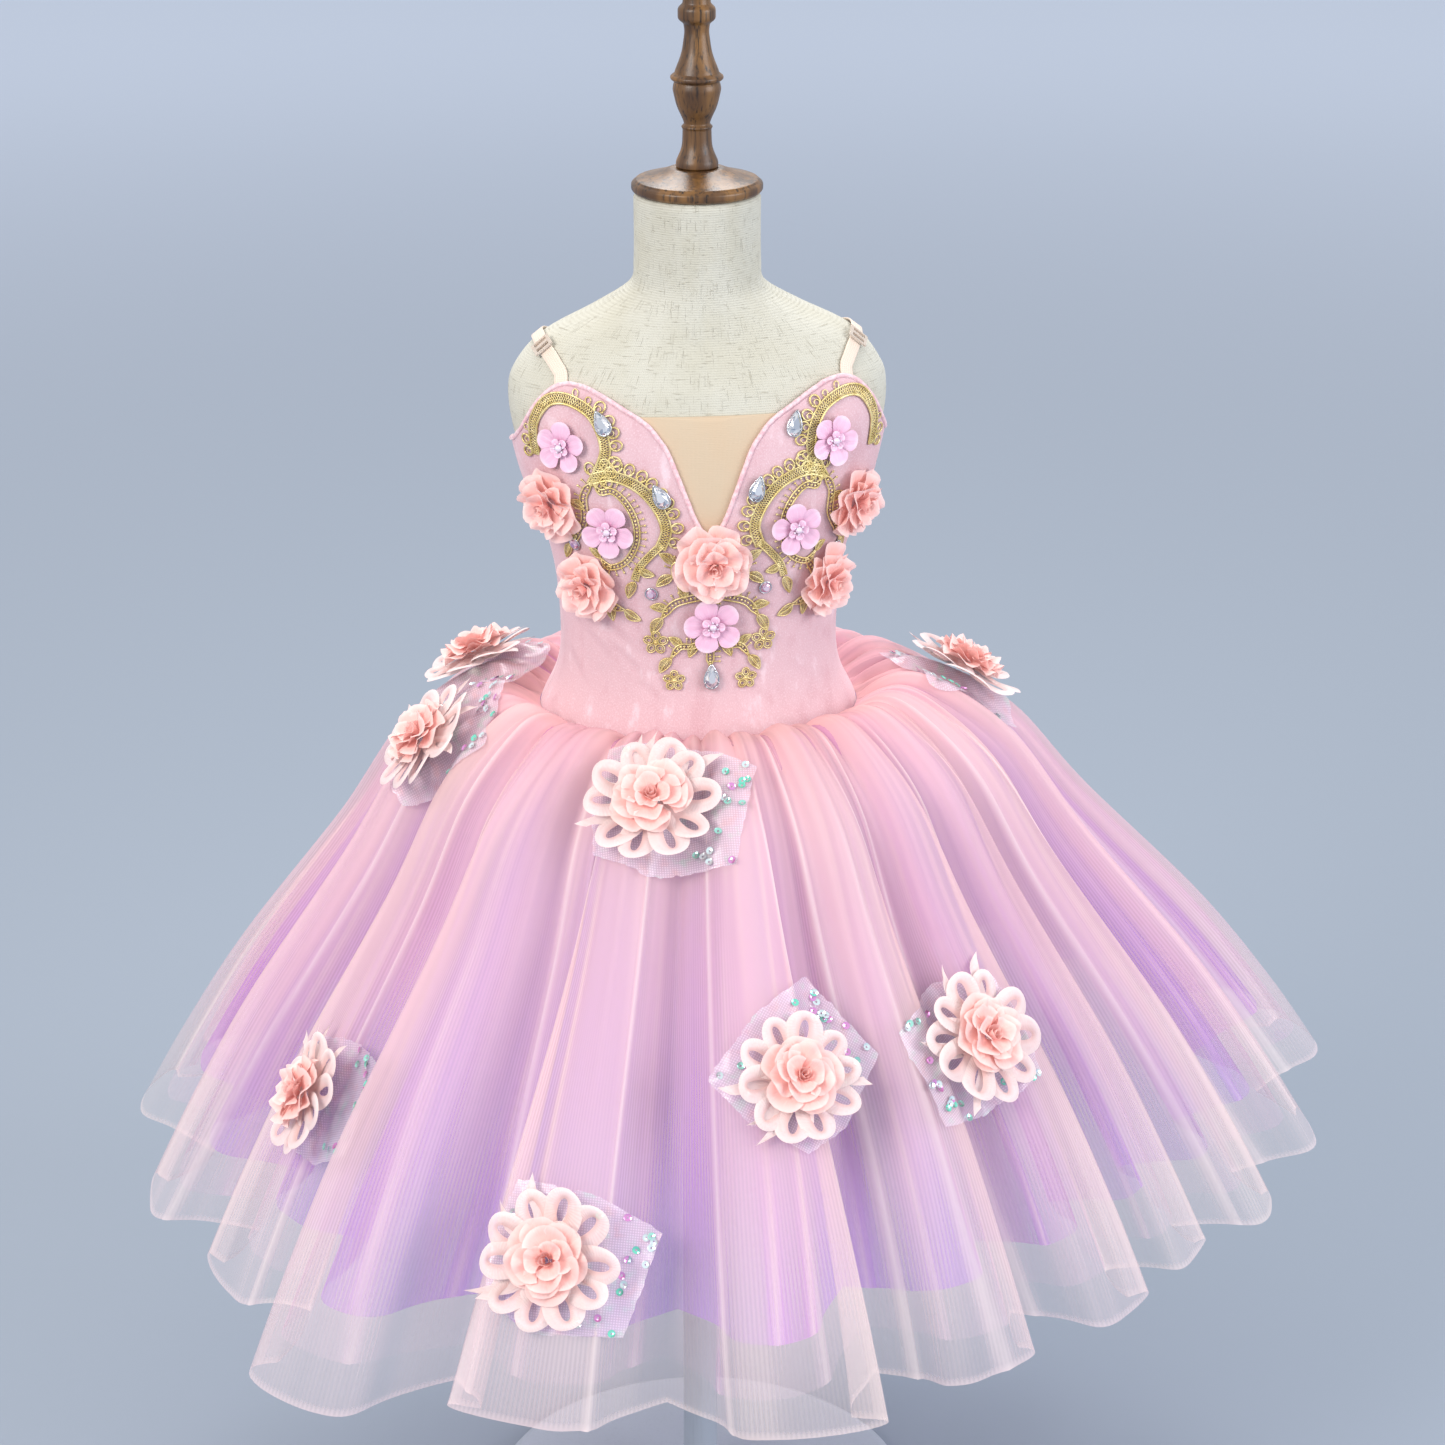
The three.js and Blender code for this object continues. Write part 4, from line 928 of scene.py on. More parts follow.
def beaded_scroll(route, width, hand, side):
    """A scroll of two cords with a beaded stem between them and knobbed spikes on one side."""
    path = flat_curve(route, cord_step)
    normals = flat_normals(path)
    half = width / 2 - 0.7
    steps = np.arange(len(path))
    taper = np.clip(np.minimum(steps, steps[::-1]) / 5, 0.25, 1)[:, None]
    parts = [laid_cord(path + normals * half * taper, hand, edge_cord),
             laid_cord(path - normals * half * taper, hand, edge_cord)]
    for k in range(2, len(path) - 2, 2):
        parts.append(laid_bead(path[k, 0], path[k, 1], hand, 0.95))
    for k in range(3, len(path) - 3, 3):
        tip = path[k] + normals[k] * side * (half + spike_long)
        spike = np.linspace(path[k] + normals[k] * side * half, tip, 3)
        parts.append(laid_cord(spike, hand, fine_thread, 4))
        parts.append(laid_bead(tip[0], tip[1], hand, 0.85))
    return parts


def cord_leaf(across, up, direction, length, width, hand):
    """A pointed leaf: a cord round its edge, a middle vein and slanting satin stitches."""
    angle = math.radians(direction)
    along = np.array([math.cos(angle), math.sin(angle)])
    over = np.array([-along[1], along[0]])
    foot = np.array([across, up])
    shares = np.linspace(0, 1, 12)
    reach = width / 2 * np.sin(np.pi * shares ** 0.8) ** 0.85
    spine = foot + shares[:, None] * length * along + 0.9 * np.sin(np.pi * shares)[:, None] * over
    one, other = spine + reach[:, None] * over, spine - reach[:, None] * over
    outline = np.concatenate([one, other[::-1][1:]])
    parts = [laid_cord(outline, hand, 0.45, 5), laid_cord(spine, hand, 0.42, 5)]
    for k in range(1, 10):
        for edge in (one, other):
            tip = edge[min(k + 2, 11)] * 0.92 + spine[min(k + 2, 11)] * 0.08
            parts.append(laid_cord(np.linspace(spine[k], tip, 3), hand, 0.3, 4))
    return parts


def cord_blossom(across, up, reach, hand):
    """A small flower of five looped petals round a bead."""
    parts = []
    for k in range(5):
        angle = math.radians(90 + 72 * k)
        along = np.array([math.cos(angle), math.sin(angle)]) * reach
        over = np.array([-along[1], along[0]])
        for share, radius in ((1.0, 0.5), (0.55, 0.38)):
            centre = np.array([across, up]) + 0.62 * along
            ring = flat_loop(centre, 0.42 * share * along, 0.36 * share * over)
            parts.append(laid_cord(ring, hand, radius, 5))
    parts.append(laid_bead(across, up, hand, 1.5))
    return parts


# Gold lamé cord: a thread wrapped in metal foil, warm and bright, dulled by its fine twist.
def lame_cord():
    material, tree, finish = start_material("gold_lame_cord", Metallic=0.6, Roughness=0.42)
    worn = through_piece(tree, 6.25, 6.25, 3.0)
    twist = through_piece(tree, 10 / 13, 10 / 9)
    relief = add(tree, "Bump", {"Height": twist, "Distance": 0.22 * metre})
    fill(finish, {"Base Color": tinted(tree, gold_bright, gold_deep, worn, 0.3, 0.7), "Normal": relief})
    return material


gold = lame_cord()


def lace_piece(name, parts, node):
    points, faces = gather_parts(parts)
    piece = make_piece(name, points, faces, gold)
    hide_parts(node)


def cup_parts(hand):
    parts = []
    for width, picots, route in cup_bands:
        parts += net_band(route, width, hand, picots)
    for width, side, route in cup_scrolls:
        parts += beaded_scroll(route, width, hand, side)
    for leaf in cup_leaves:
        parts += cord_leaf(*leaf, hand)
    return parts


lace_piece("gold_lace_left", cup_parts(-1), "lace_left")
lace_piece("gold_lace_right", cup_parts(1), "lace_right")
stem_width, stem_route = centre_scrolls[0]
centre_parts = beaded_scroll(stem_route, stem_width, 1, 1)
for hand in (-1, 1):
    for width, route in centre_scrolls[1:]:
        centre_parts += beaded_scroll(route, width, hand, 1)
    for leaf in centre_leaves:
        centre_parts += cord_leaf(*leaf, hand)
    for blossom in centre_blossoms:
        centre_parts += cord_blossom(*blossom, hand)
lace_piece("gold_lace_centre", centre_parts, "lace_centre")


# Rosettes of the bodice
# Discs of coral chiffon, each gathered to a frilled petal, piled in four tiers and caught down in
# the middle round a rolled bud, then sewn on by hand.
lace_top = velvet_top + lace_gap + lace_thick
seats = {"velvet": velvet_top + 0.2, "lace": lace_top + 0.4}
rosette_rows = [
    # turn, height, size across, spin, what it is sewn on
    (-66, 806, 53, 0, "velvet"), (-55, 751, 52, 40, "lace"), (1, 771, 57, 20, "lace"),
    (56, 749, 52, 80, "lace"), (65, 801, 53, 120, "velvet")]
petal_tiers = [
    # petals, reach and start as shares of the half size, half spread, lift at the foot and tip, frill
    (6, 1.08, 0.20, 42, 1.0, 4.4, 2.4),
    (5, 0.94, 0.16, 50, 2.4, 8.6, 3.0),
    (5, 0.74, 0.10, 50, 4.0, 12.4, 3.0),
    (3, 0.50, 0.06, 70, 5.5, 15.4, 2.4),
]
curl_back = 4.5                 # how steeply the last of each petal turns down again
lowest_petal = 0.4
bud_turns = 2.4
coral_deep = "#ffb5ae"
coral = "#ffcac3"
coral_tip = "#ffe5e0"
coral_glow = "#ff9f96"


def spun(side, rise, spin):
    """Two directions turned by an angle in their own plane."""
    cos, sin = math.cos(math.radians(spin)), math.sin(math.radians(spin))
    return side * cos + rise * sin, rise * cos - side * sin


def worn_frame(turn, up, off, spin=0.0):
    """Point on the bodice with directions side, rise and out, spun in its own plane."""
    side, rise, out = form_frame(turn, up)
    return (on_form(turn, up, off), *spun(side, rise, spin), out)


def in_frame(place, x, y, z):
    """Points given by their distances along a frame's three directions."""
    at, side, rise, out = place
    return at + x[..., None] * side + y[..., None] * rise + z[..., None] * out


def grid_piece(name, grids, material):
    """A piece from grids of points, each with cloth coordinates and a value from foot to tip."""
    points, faces, uv, tips, start = [], [], [], [], 0
    for grid, cloth, tip in grids:
        faces += grid_faces(grid.shape[0], grid.shape[1], start)
        points.append(grid.reshape(-1, 3))
        uv.append(cloth.reshape(-1, 2))
        tips.append(tip.reshape(-1))
        start += grid.shape[0] * grid.shape[1]
    return make_piece(name, np.concatenate(points), faces, material, np.concatenate(uv),
                      {"tip": np.concatenate(tips)})


def frilled_petals(place, half_size, tiers, rng):
    """Overlapping frilled petals in tiers round the middle of a frame."""
    grids = []
    u = np.linspace(-1, 1, 13)[:, None]
    v = np.linspace(0, 1, 9)[None, :]
    for count, reach, start, half_spread, foot_lift, tip_lift, frill in tiers:
        first = rng.uniform(0, 360)
        for k in range(count):
            angle = math.radians(first + (k + rng.uniform(-0.16, 0.16)) / count * 360)
            spread_by = math.radians(half_spread) * rng.uniform(0.85, 1.1)
            far = half_size * reach * rng.uniform(0.84, 1.0) * (1 - 0.3 * np.abs(u) ** 2.4)
            radius = half_size * start + (far - half_size * start) * v
            bend = angle + u * spread_by * (0.55 + 0.45 * v) + 0.05 * np.sin(5 * u + first) * v
            waves, phase = rng.uniform(1.2, 2.2), rng.uniform(0, 6.28)
            tilt = rng.uniform(-2.4, 2.4)
            lift = foot_lift + (tip_lift - foot_lift) * v ** 0.8
            lift = lift + frill * v ** 1.6 * np.sin(waves * np.pi * u + phase)
            lift = lift + 0.5 * np.sin(9 * u + phase) * v
            lift = lift - curl_back * np.clip(v - 0.85, 0, 1) + tilt * u * v
            lift = np.maximum(lift, lowest_petal)
            grid = in_frame(place, radius * np.cos(bend), radius * np.sin(bend), lift)
            cloth = np.stack([u * 14 + 0 * v, v * half_size * reach + 0 * u], -1)
            grids.append((grid, cloth, v + 0 * u))
    return grids


def rolled_bud(place, half_size, rng, high=1.0):
    """A strip of the same cloth rolled into a bud at the middle."""
    along = np.linspace(0, 1, 46)[:, None]
    v = np.linspace(0, 1, 5)[None, :]
    # The strip winds outward, leans out towards its rim and is a little wavy all along.
    angle = along * bud_turns * 2 * np.pi + rng.uniform(0, 6)
    radius = half_size * (0.03 + 0.13 * along) * (1 + 0.1 * np.sin(angle * 3.3)) * (0.75 + 0.45 * v)
    lift = (8.0 + 8.5 * v * (1 - 0.22 * along) + 0.7 * np.sin(angle * 2.7) * v) * high
    grid = in_frame(place, radius * np.cos(angle), radius * np.sin(angle), lift)
    cloth = np.stack([along * 60 + 0 * v, v * 8 + 0 * along], -1)
    return [(grid, cloth, v + 0 * along)]


# Polyester chiffon: matt and fine, deeper coral towards the foot of each petal, paler at the frills.
# A faint light of its own stands for the light that comes through its thin layers.
def coral_chiffon():
    material, tree, finish = start_material(
        "coral_chiffon", Roughness=0.8, IOR=1.5, Emission_Strength=0.1, Emission_Color=coral_glow,
        Sheen_Weight=0.35, Sheen_Tint=coral_tip)
    place, _, _ = cloth_place(tree)
    tip = add(tree, "Attribute", {}, "Fac", attribute_name="tip")
    veins = stretched_noise(tree, place, (1.3, 14, 1), 3.0)
    body = tinted(tree, coral_deep, coral, tip, 0.0, 0.55)
    body = tinted(tree, body, coral_tip, tip, 0.72, 1.0, 0, 0.75)
    body = tinted(tree, body, coral_tip, veins, 0.5, 0.75, 0, 0.4)
    relief = add(tree, "Bump", {"Height": veins, "Distance": 0.3 * metre})
    sheer = add(tree, "MapRange", {0: tip, 1: 0.5, 2: 1.0, 3: 1.0, 4: 0.84},
                interpolation_type="SMOOTHSTEP")
    fill(finish, {"Base Color": body, "Normal": relief, "Alpha": sheer})
    return material


chiffon = coral_chiffon()
for number, (turn, up, size, spin, on) in enumerate(rosette_rows, 1):
    rng = np.random.default_rng(100 + number)
    seat = worn_frame(turn, up, seats[on], spin)
    grids = frilled_petals(seat, size / 2, petal_tiers, rng) + rolled_bud(seat, size / 2, rng)
    rosette = grid_piece(f"chiffon_rosette_{number}", grids, chiffon)
    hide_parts(f"rosette_{number}")


# Satin flowers of the bodice
# Five rounded petals of orchid satin, cut by heat so that their edges roll, pressed over a ball
# tool to a shallow cup, with a smaller set inside and a pearl bead sewn through the middle.
satin_rows = [
    # turn, height, size across, spin, what it is sewn on
    (-61, 846, 36, 12, "velvet"), (-45, 792, 38, -14, "velvet"), (39, 791, 38, 30, "lace"),
    (54, 847, 36, -8, "lace"), (1, 727, 41, 36, "lace")]
petal_overlap = 0.45            # every other petal lies this much higher
orchid = "#f6c3dd"
orchid_pale = "#fde3ef"
orchid_deep = "#e6a2c8"


def satin_petals(place, half_size, count, lift, high, rng):
    """Broad round petals with a narrow foot, cupped a little and set side by side."""
    grids = []
    u = np.linspace(-1, 1, 13)[:, None]
    v = np.sin(np.linspace(0, np.pi / 2, 13))[None, :]
    widest = 0.6                # where the petal is broadest, as a share of its length
    rounding = np.sqrt(1 - ((np.clip(v, widest, 1) - widest) / (1 - widest)) ** 2)
    for k in range(count):
        angle = (k + rng.uniform(-0.05, 0.05)) / count * 2 * np.pi
        long = half_size * rng.uniform(0.94, 1.0)
        wide = half_size * 2.0 / count
        half_wide = wide * (0.12 + 0.88 * np.clip(v / widest, 0, 1) ** 0.85) * rounding
        along = long * (0.06 + 0.94 * v)
        raised = lift + high * np.sin(np.pi * np.clip(v, 0, 0.8) / 1.6) + 1.1 * (u * rounding) ** 2 * v
        raised = raised + 0.7 * np.cos(9 * u) * v * (1 - v) + 0.5 * np.sin(3 * v + k)
        raised = raised + petal_overlap * (k % 2)
        x = along * math.cos(angle) - half_wide * u * math.sin(angle)
        y = along * math.sin(angle) + half_wide * u * math.cos(angle)
        grid = in_frame(place, x, y, np.maximum(raised, 0.35) + 0 * x)
        cloth = np.stack([u * wide + 0 * v, v * long + 0 * u], -1)
        grids.append((grid, cloth, v + 0 * u))
    return grids


# Duchess satin: a soft broad sheen, orchid with a paler edge and fine pressed veins.
def orchid_satin():
    material, tree, finish = start_material("orchid_duchess_satin", Roughness=0.38, IOR=1.5,
                                            Sheen_Weight=0.4, Sheen_Tint=orchid_pale)
    place, _, _ = cloth_place(tree)
    tip = add(tree, "Attribute", {}, "Fac", attribute_name="tip")
    veins = stretched_noise(tree, place, (0.9, 16, 1), 2.0)
    body = tinted(tree, orchid_deep, orchid, tip, 0.05, 0.6)
    body = tinted(tree, body, orchid_pale, tip, 0.75, 1.0, 0, 0.8)
    body = tinted(tree, body, orchid_pale, veins, 0.52, 0.75, 0, 0.5)
    relief = add(tree, "Bump", {"Height": veins, "Distance": 0.25 * metre})
    fill(finish, {"Base Color": body, "Normal": relief})
    return material


# Imitation pearl: a smooth bead with a milky, glossy coat.
def milky_pearl():
    material, tree, finish = start_material("milky_pearl", Roughness=0.22, IOR=1.53, Coat_Weight=0.7)
    milk = through_piece(tree, 20 / 3, 20 / 3)
    tone = add(tree, "Mix", {0: milk, 6: "#f6e9ef", 7: "#dcc6e0"}, 2, data_type="RGBA")
    fill(finish, {"Base Color": tone})
    return material


satin = orchid_satin()
pearl = milky_pearl()
pearl_radius, pearl_lift = 2.4, 4.6
seed_radius, seed_lift, seed_ring = 0.9, 4.2, 3.3   # six seed beads round the pearl
for number, (turn, up, size, spin, on) in enumerate(satin_rows, 1):
    rng = np.random.default_rng(200 + number)
    seat = worn_frame(turn, up, seats[on], spin)
    between = worn_frame(turn, up, seats[on], spin + 36)
    grids = satin_petals(seat, size * 0.5, 5, 0.6, 2.0, rng)
    grids += satin_petals(between, size * 0.2, 5, 2.2, 2.0, rng)
    flower = grid_piece(f"orchid_flower_{number}", grids, satin)
    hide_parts(f"satin_flower_{number}")
    at, side, rise, out = seat
    beads = [ball(at + out * pearl_lift, pearl_radius, 9, 14, 1.0, out)]
    for angle in np.arange(6) / 6 * 2 * np.pi:
        around = math.cos(angle) * side + math.sin(angle) * rise
        beads.append(ball(at + out * seed_lift + around * seed_ring, seed_radius, 5, 8, 1.0, out))
    points, faces = gather_parts(beads)
    make_piece(f"flower_pearls_{number}", points, faces, pearl)


# Set stones
# Foiled glass drops and small round stones, each in a claw cup of bright metal sewn on through
# holes in its rim. Their facets are cut flat, so each one catches the light by itself.
drop_rows = [
    # turn, height, spin, what it is sewn on
    (-48.5, 863, 28, "lace"), (-24, 817, 30, "lace"), (41, 860, -14, "velvet"),
    (22.5, 820, -16, "lace"), (0.5, 690, 0, "lace")]
round_rows = [(-28.5, 749), (27, 751), (-60, 779), (62, 770)]
drop_half_tall, drop_belly, drop_power = 9.0, 6.8, 1.1
round_size = 8.0
drop_cut = [(0.90, 0.0, 0), (0.92, 1.7, 0), (0.74, 3.0, 0.5), (0.46, 4.3, 0)]       # share, lift, shift
round_cut = [(0.90, 0.0, 0), (0.90, 1.2, 0), (0.72, 2.4, 0.5), (0.45, 3.2, 0)]
claw_route = [(0.98, 1.2), (0.93, 2.6), (0.80, 3.1)]    # share of the outline, lift


# Foiled glass: the foil behind the stone throws the light back, and each facet is painted a random
# shade from white to grey, a painted glint.
def foiled_glass(name, pale, dark):
    material, tree, finish = start_material(name, Roughness=0.06, IOR=1.6, Metallic=0.55,
                                            Coat_Weight=1.0, Coat_Roughness=0.02)
    glint = add(tree, "Attribute", {}, "Fac", attribute_name="glint")
    tone = add(tree, "Mix", {0: glint, 6: dark, 7: pale}, 2, data_type="RGBA")
    fill(finish, {"Base Color": tone})
    return material


# Claw setting: thin stamped metal, silver coloured and polished.
def bright_setting():
    material, tree, finish = start_material("silver_claw_setting", Metallic=1.0, Roughness=0.24)
    worn = through_piece(tree, 2.5, 2.5)
    tone = add(tree, "Mix", {0: worn, 6: "#eef0f2", 7: "#bfc4ca"}, 2, data_type="RGBA")
    fill(finish, {"Base Color": tone})
    return material


def faceted_stone(name, place, outline, levels, material, rng):
    """A cut stone: rings of flat facets from the rim to the table, each with its own painted glint."""
    rings = []
    for share, lift, shift in levels:
        x, y = outline(shift)
        rings.append(in_frame(place, x * share, y * share, lift + 0 * x))
    points, faces, glints = [], [], []
    around = len(rings[0])

    def facet(corners):
        start = len(points)
        points.extend(corners)
        faces.append(tuple(range(start, start + len(corners))))
        glints.extend([rng.uniform(0, 1)] * len(corners))

    for low, high in zip(rings, rings[1:]):
        for i in range(around):
            after = (i + 1) % around
            facet([low[i], low[after], high[i]])
            facet([low[after], high[after], high[i]])
    facet(list(rings[-1]))
    return make_piece(name, np.array(points), faces, material, None, {"glint": glints}, False)


def drop_outline(shift, around=12):
    angle = (np.arange(around) + shift) / around * 2 * np.pi
    belly = drop_belly * np.abs(np.sin(angle / 2)) ** drop_power
    return belly * np.sin(angle), drop_half_tall * np.cos(angle)


def round_outline(shift, around=10):
    angle = (np.arange(around) + shift) / around * 2 * np.pi
    return round_size / 2 * np.sin(angle), round_size / 2 * np.cos(angle)


drop_glass = foiled_glass("foiled_crystal", "#ffffff", "#8d9db4")
round_glass = foiled_glass("foiled_rose_glass", "#ffe6f4", "#b98ab8")
silver = bright_setting()
for number, (turn, up, spin, on) in enumerate(drop_rows, 1):
    rng = np.random.default_rng(300 + number)
    seat = worn_frame(turn, up, seats[on], spin)
    stone = faceted_stone(f"cut_drop_{number}", seat, drop_outline, drop_cut, drop_glass, rng)
    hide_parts(f"drop_stone_{number}")
    x, y = drop_outline(0, 36)
    rim = in_frame(seat, np.append(x, x[0]) * 0.97, np.append(y, y[0]) * 0.97, np.full(37, 1.2))
    parts = [tube(rim, 0.6, 6, seat[3])]
    for k in range(0, 36, 6):
        claw = [in_frame(seat, x[k] * share, y[k] * share, np.array(lift)) for share, lift in claw_route]
        parts.append(tube(claw, 0.5, 5, seat[1] + 0.37 * seat[2]))
    points, faces = gather_parts(parts)
    make_piece(f"drop_setting_{number}", points, faces, silver)
for number, (turn, up) in enumerate(round_rows, 1):
    rng = np.random.default_rng(330 + number)
    seat = worn_frame(turn, up, velvet_top + 0.3)
    faceted_stone(f"round_stone_{number}", seat, round_outline, round_cut, round_glass, rng)
    x, y = round_outline(0, 28)
    rim = in_frame(seat, np.append(x, x[0]), np.append(y, y[0]), np.full(29, 0.9))
    make_piece(f"round_setting_{number}", *tube(rim, 0.5, 6, seat[3]), silver)


# Lilac under-skirt
# The innermost of three tulle skirts: widths of soft nylon tulle joined into a tube and gathered
# hard into the waist seam. It is cut shortest, so its hem shows through the pink above it.
seam_up = 647
waist_gap = 0.4
skirt_folds = [
    # turn of the crest, reach of its hem from the axis, height of that hem, depth of the fold
    (-180, 412, 300, 50), (-162, 405, 296, 54), (-144, 416, 300, 50), (-125, 426, 304, 56),
    (-106, 420, 300, 52), (-86, 396, 292, 58), (-66, 370, 290, 54), (-44, 428, 297, 62),
    (-21, 390, 299, 50), (2, 396, 298, 56), (26, 370, 300, 58), (43, 370, 300, 48), (58, 378, 298, 46),
    (71, 412, 294, 46), (84, 446, 303, 44), (98, 480, 326, 54), (114, 444, 316, 56), (131, 424, 306, 52),
    (148, 410, 300, 54), (164, 404, 298, 46)]
panel_rows = [
    # share of the way down the panel, out, down, how far the folds have opened, nesting of the layers
    (0, 0.00, 0.00, 0.00, 0.00), (1 / 7, 0.09, -0.045, 0.10, 0.10), (2 / 7, 0.19, -0.015, 0.20, 0.22),
    (3 / 7, 0.33, 0.09, 0.34, 0.40), (4 / 7, 0.48, 0.29, 0.52, 0.60), (5 / 7, 0.73, 0.59, 0.78, 0.80),
    (6 / 7, 0.89, 0.82, 0.92, 0.92), (1, 1.00, 1.00, 1.00, 1.00)]
first_seam = 4.5                # the side seam lies in the hollow after this fold
pinch_width = 0.02              # of a pressed-in crease, as a share of a fold
crest_breadth = 0.5
plain_swell = 0.05
lilac = "#b67ff0"
orchid_tulle = "#e68edf"
pinches = [
    # place counted in folds, drift down the panel, share of the panel where it starts, strength
    (0.30, -0.20, 0.10, 0.8), (1.62, 0.10, 0.20, 1.0), (2.40, -0.15, 0.05, 0.8), (3.35, 0.20, 0.15, 1.0),
    (4.70, 0.10, 0.10, 0.8), (5.38, -0.20, 0.20, 0.9), (6.30, -0.10, 0.05, 1.0), (6.72, -0.22, 0.25, 0.8),
    (7.45, 0.12, 0.12, 0.9), (8.28, -0.10, 0.05, 0.9), (8.70, 0.06, 0.10, 1.0), (9.52, 0.10, 0.05, 1.0),
    (9.86, 0.16, 0.30, 0.7), (10.42, 0.14, 0.10, 0.9), (11.32, 0.18, 0.15, 1.0), (12.60, 0.12, 0.05, 0.9),
    (13.40, 0.20, 0.20, 0.8), (14.55, 0.10, 0.10, 0.9), (15.66, -0.12, 0.10, 0.8), (16.42, 0.15, 0.20, 1.0),
    (17.60, -0.10, 0.05, 0.8), (18.34, 0.20, 0.15, 0.9), (19.45, -0.15, 0.10, 0.9)]


def ease_between(low, high, value):
    """0 below low and 1 above high, with a smooth rise between them."""
    share = np.clip((value - low) / (high - low), 0, 1)
    return share * share * (3 - 2 * share)


def cloth_noise(columns, rows, cells, falls, seed):
    """Soft random streaks down a tube of cloth that closes on itself, from 0 to 1."""
    rng = np.random.default_rng(int(100 * seed))
    total = np.zeros((columns, rows))
    for octave, weight in enumerate((0.5, 0.3, 0.2)):
        grid = rng.random((cells << octave, falls + 2))
        x = np.linspace(0, len(grid), columns)[:, None]
        y = np.linspace(0, falls, rows)[None, :]
        i, j = np.floor(x).astype(int), np.floor(y).astype(int)
        along, up = ease_between(0, 1, x - i), ease_between(0, 1, y - j)
        near, far = i % len(grid), (i + 1) % len(grid)
        low = grid[near, j] * (1 - along) + grid[far, j] * along
        high = grid[near, j + 1] * (1 - along) + grid[far, j + 1] * along
        total += weight * (low * (1 - up) + high * up)
    return total


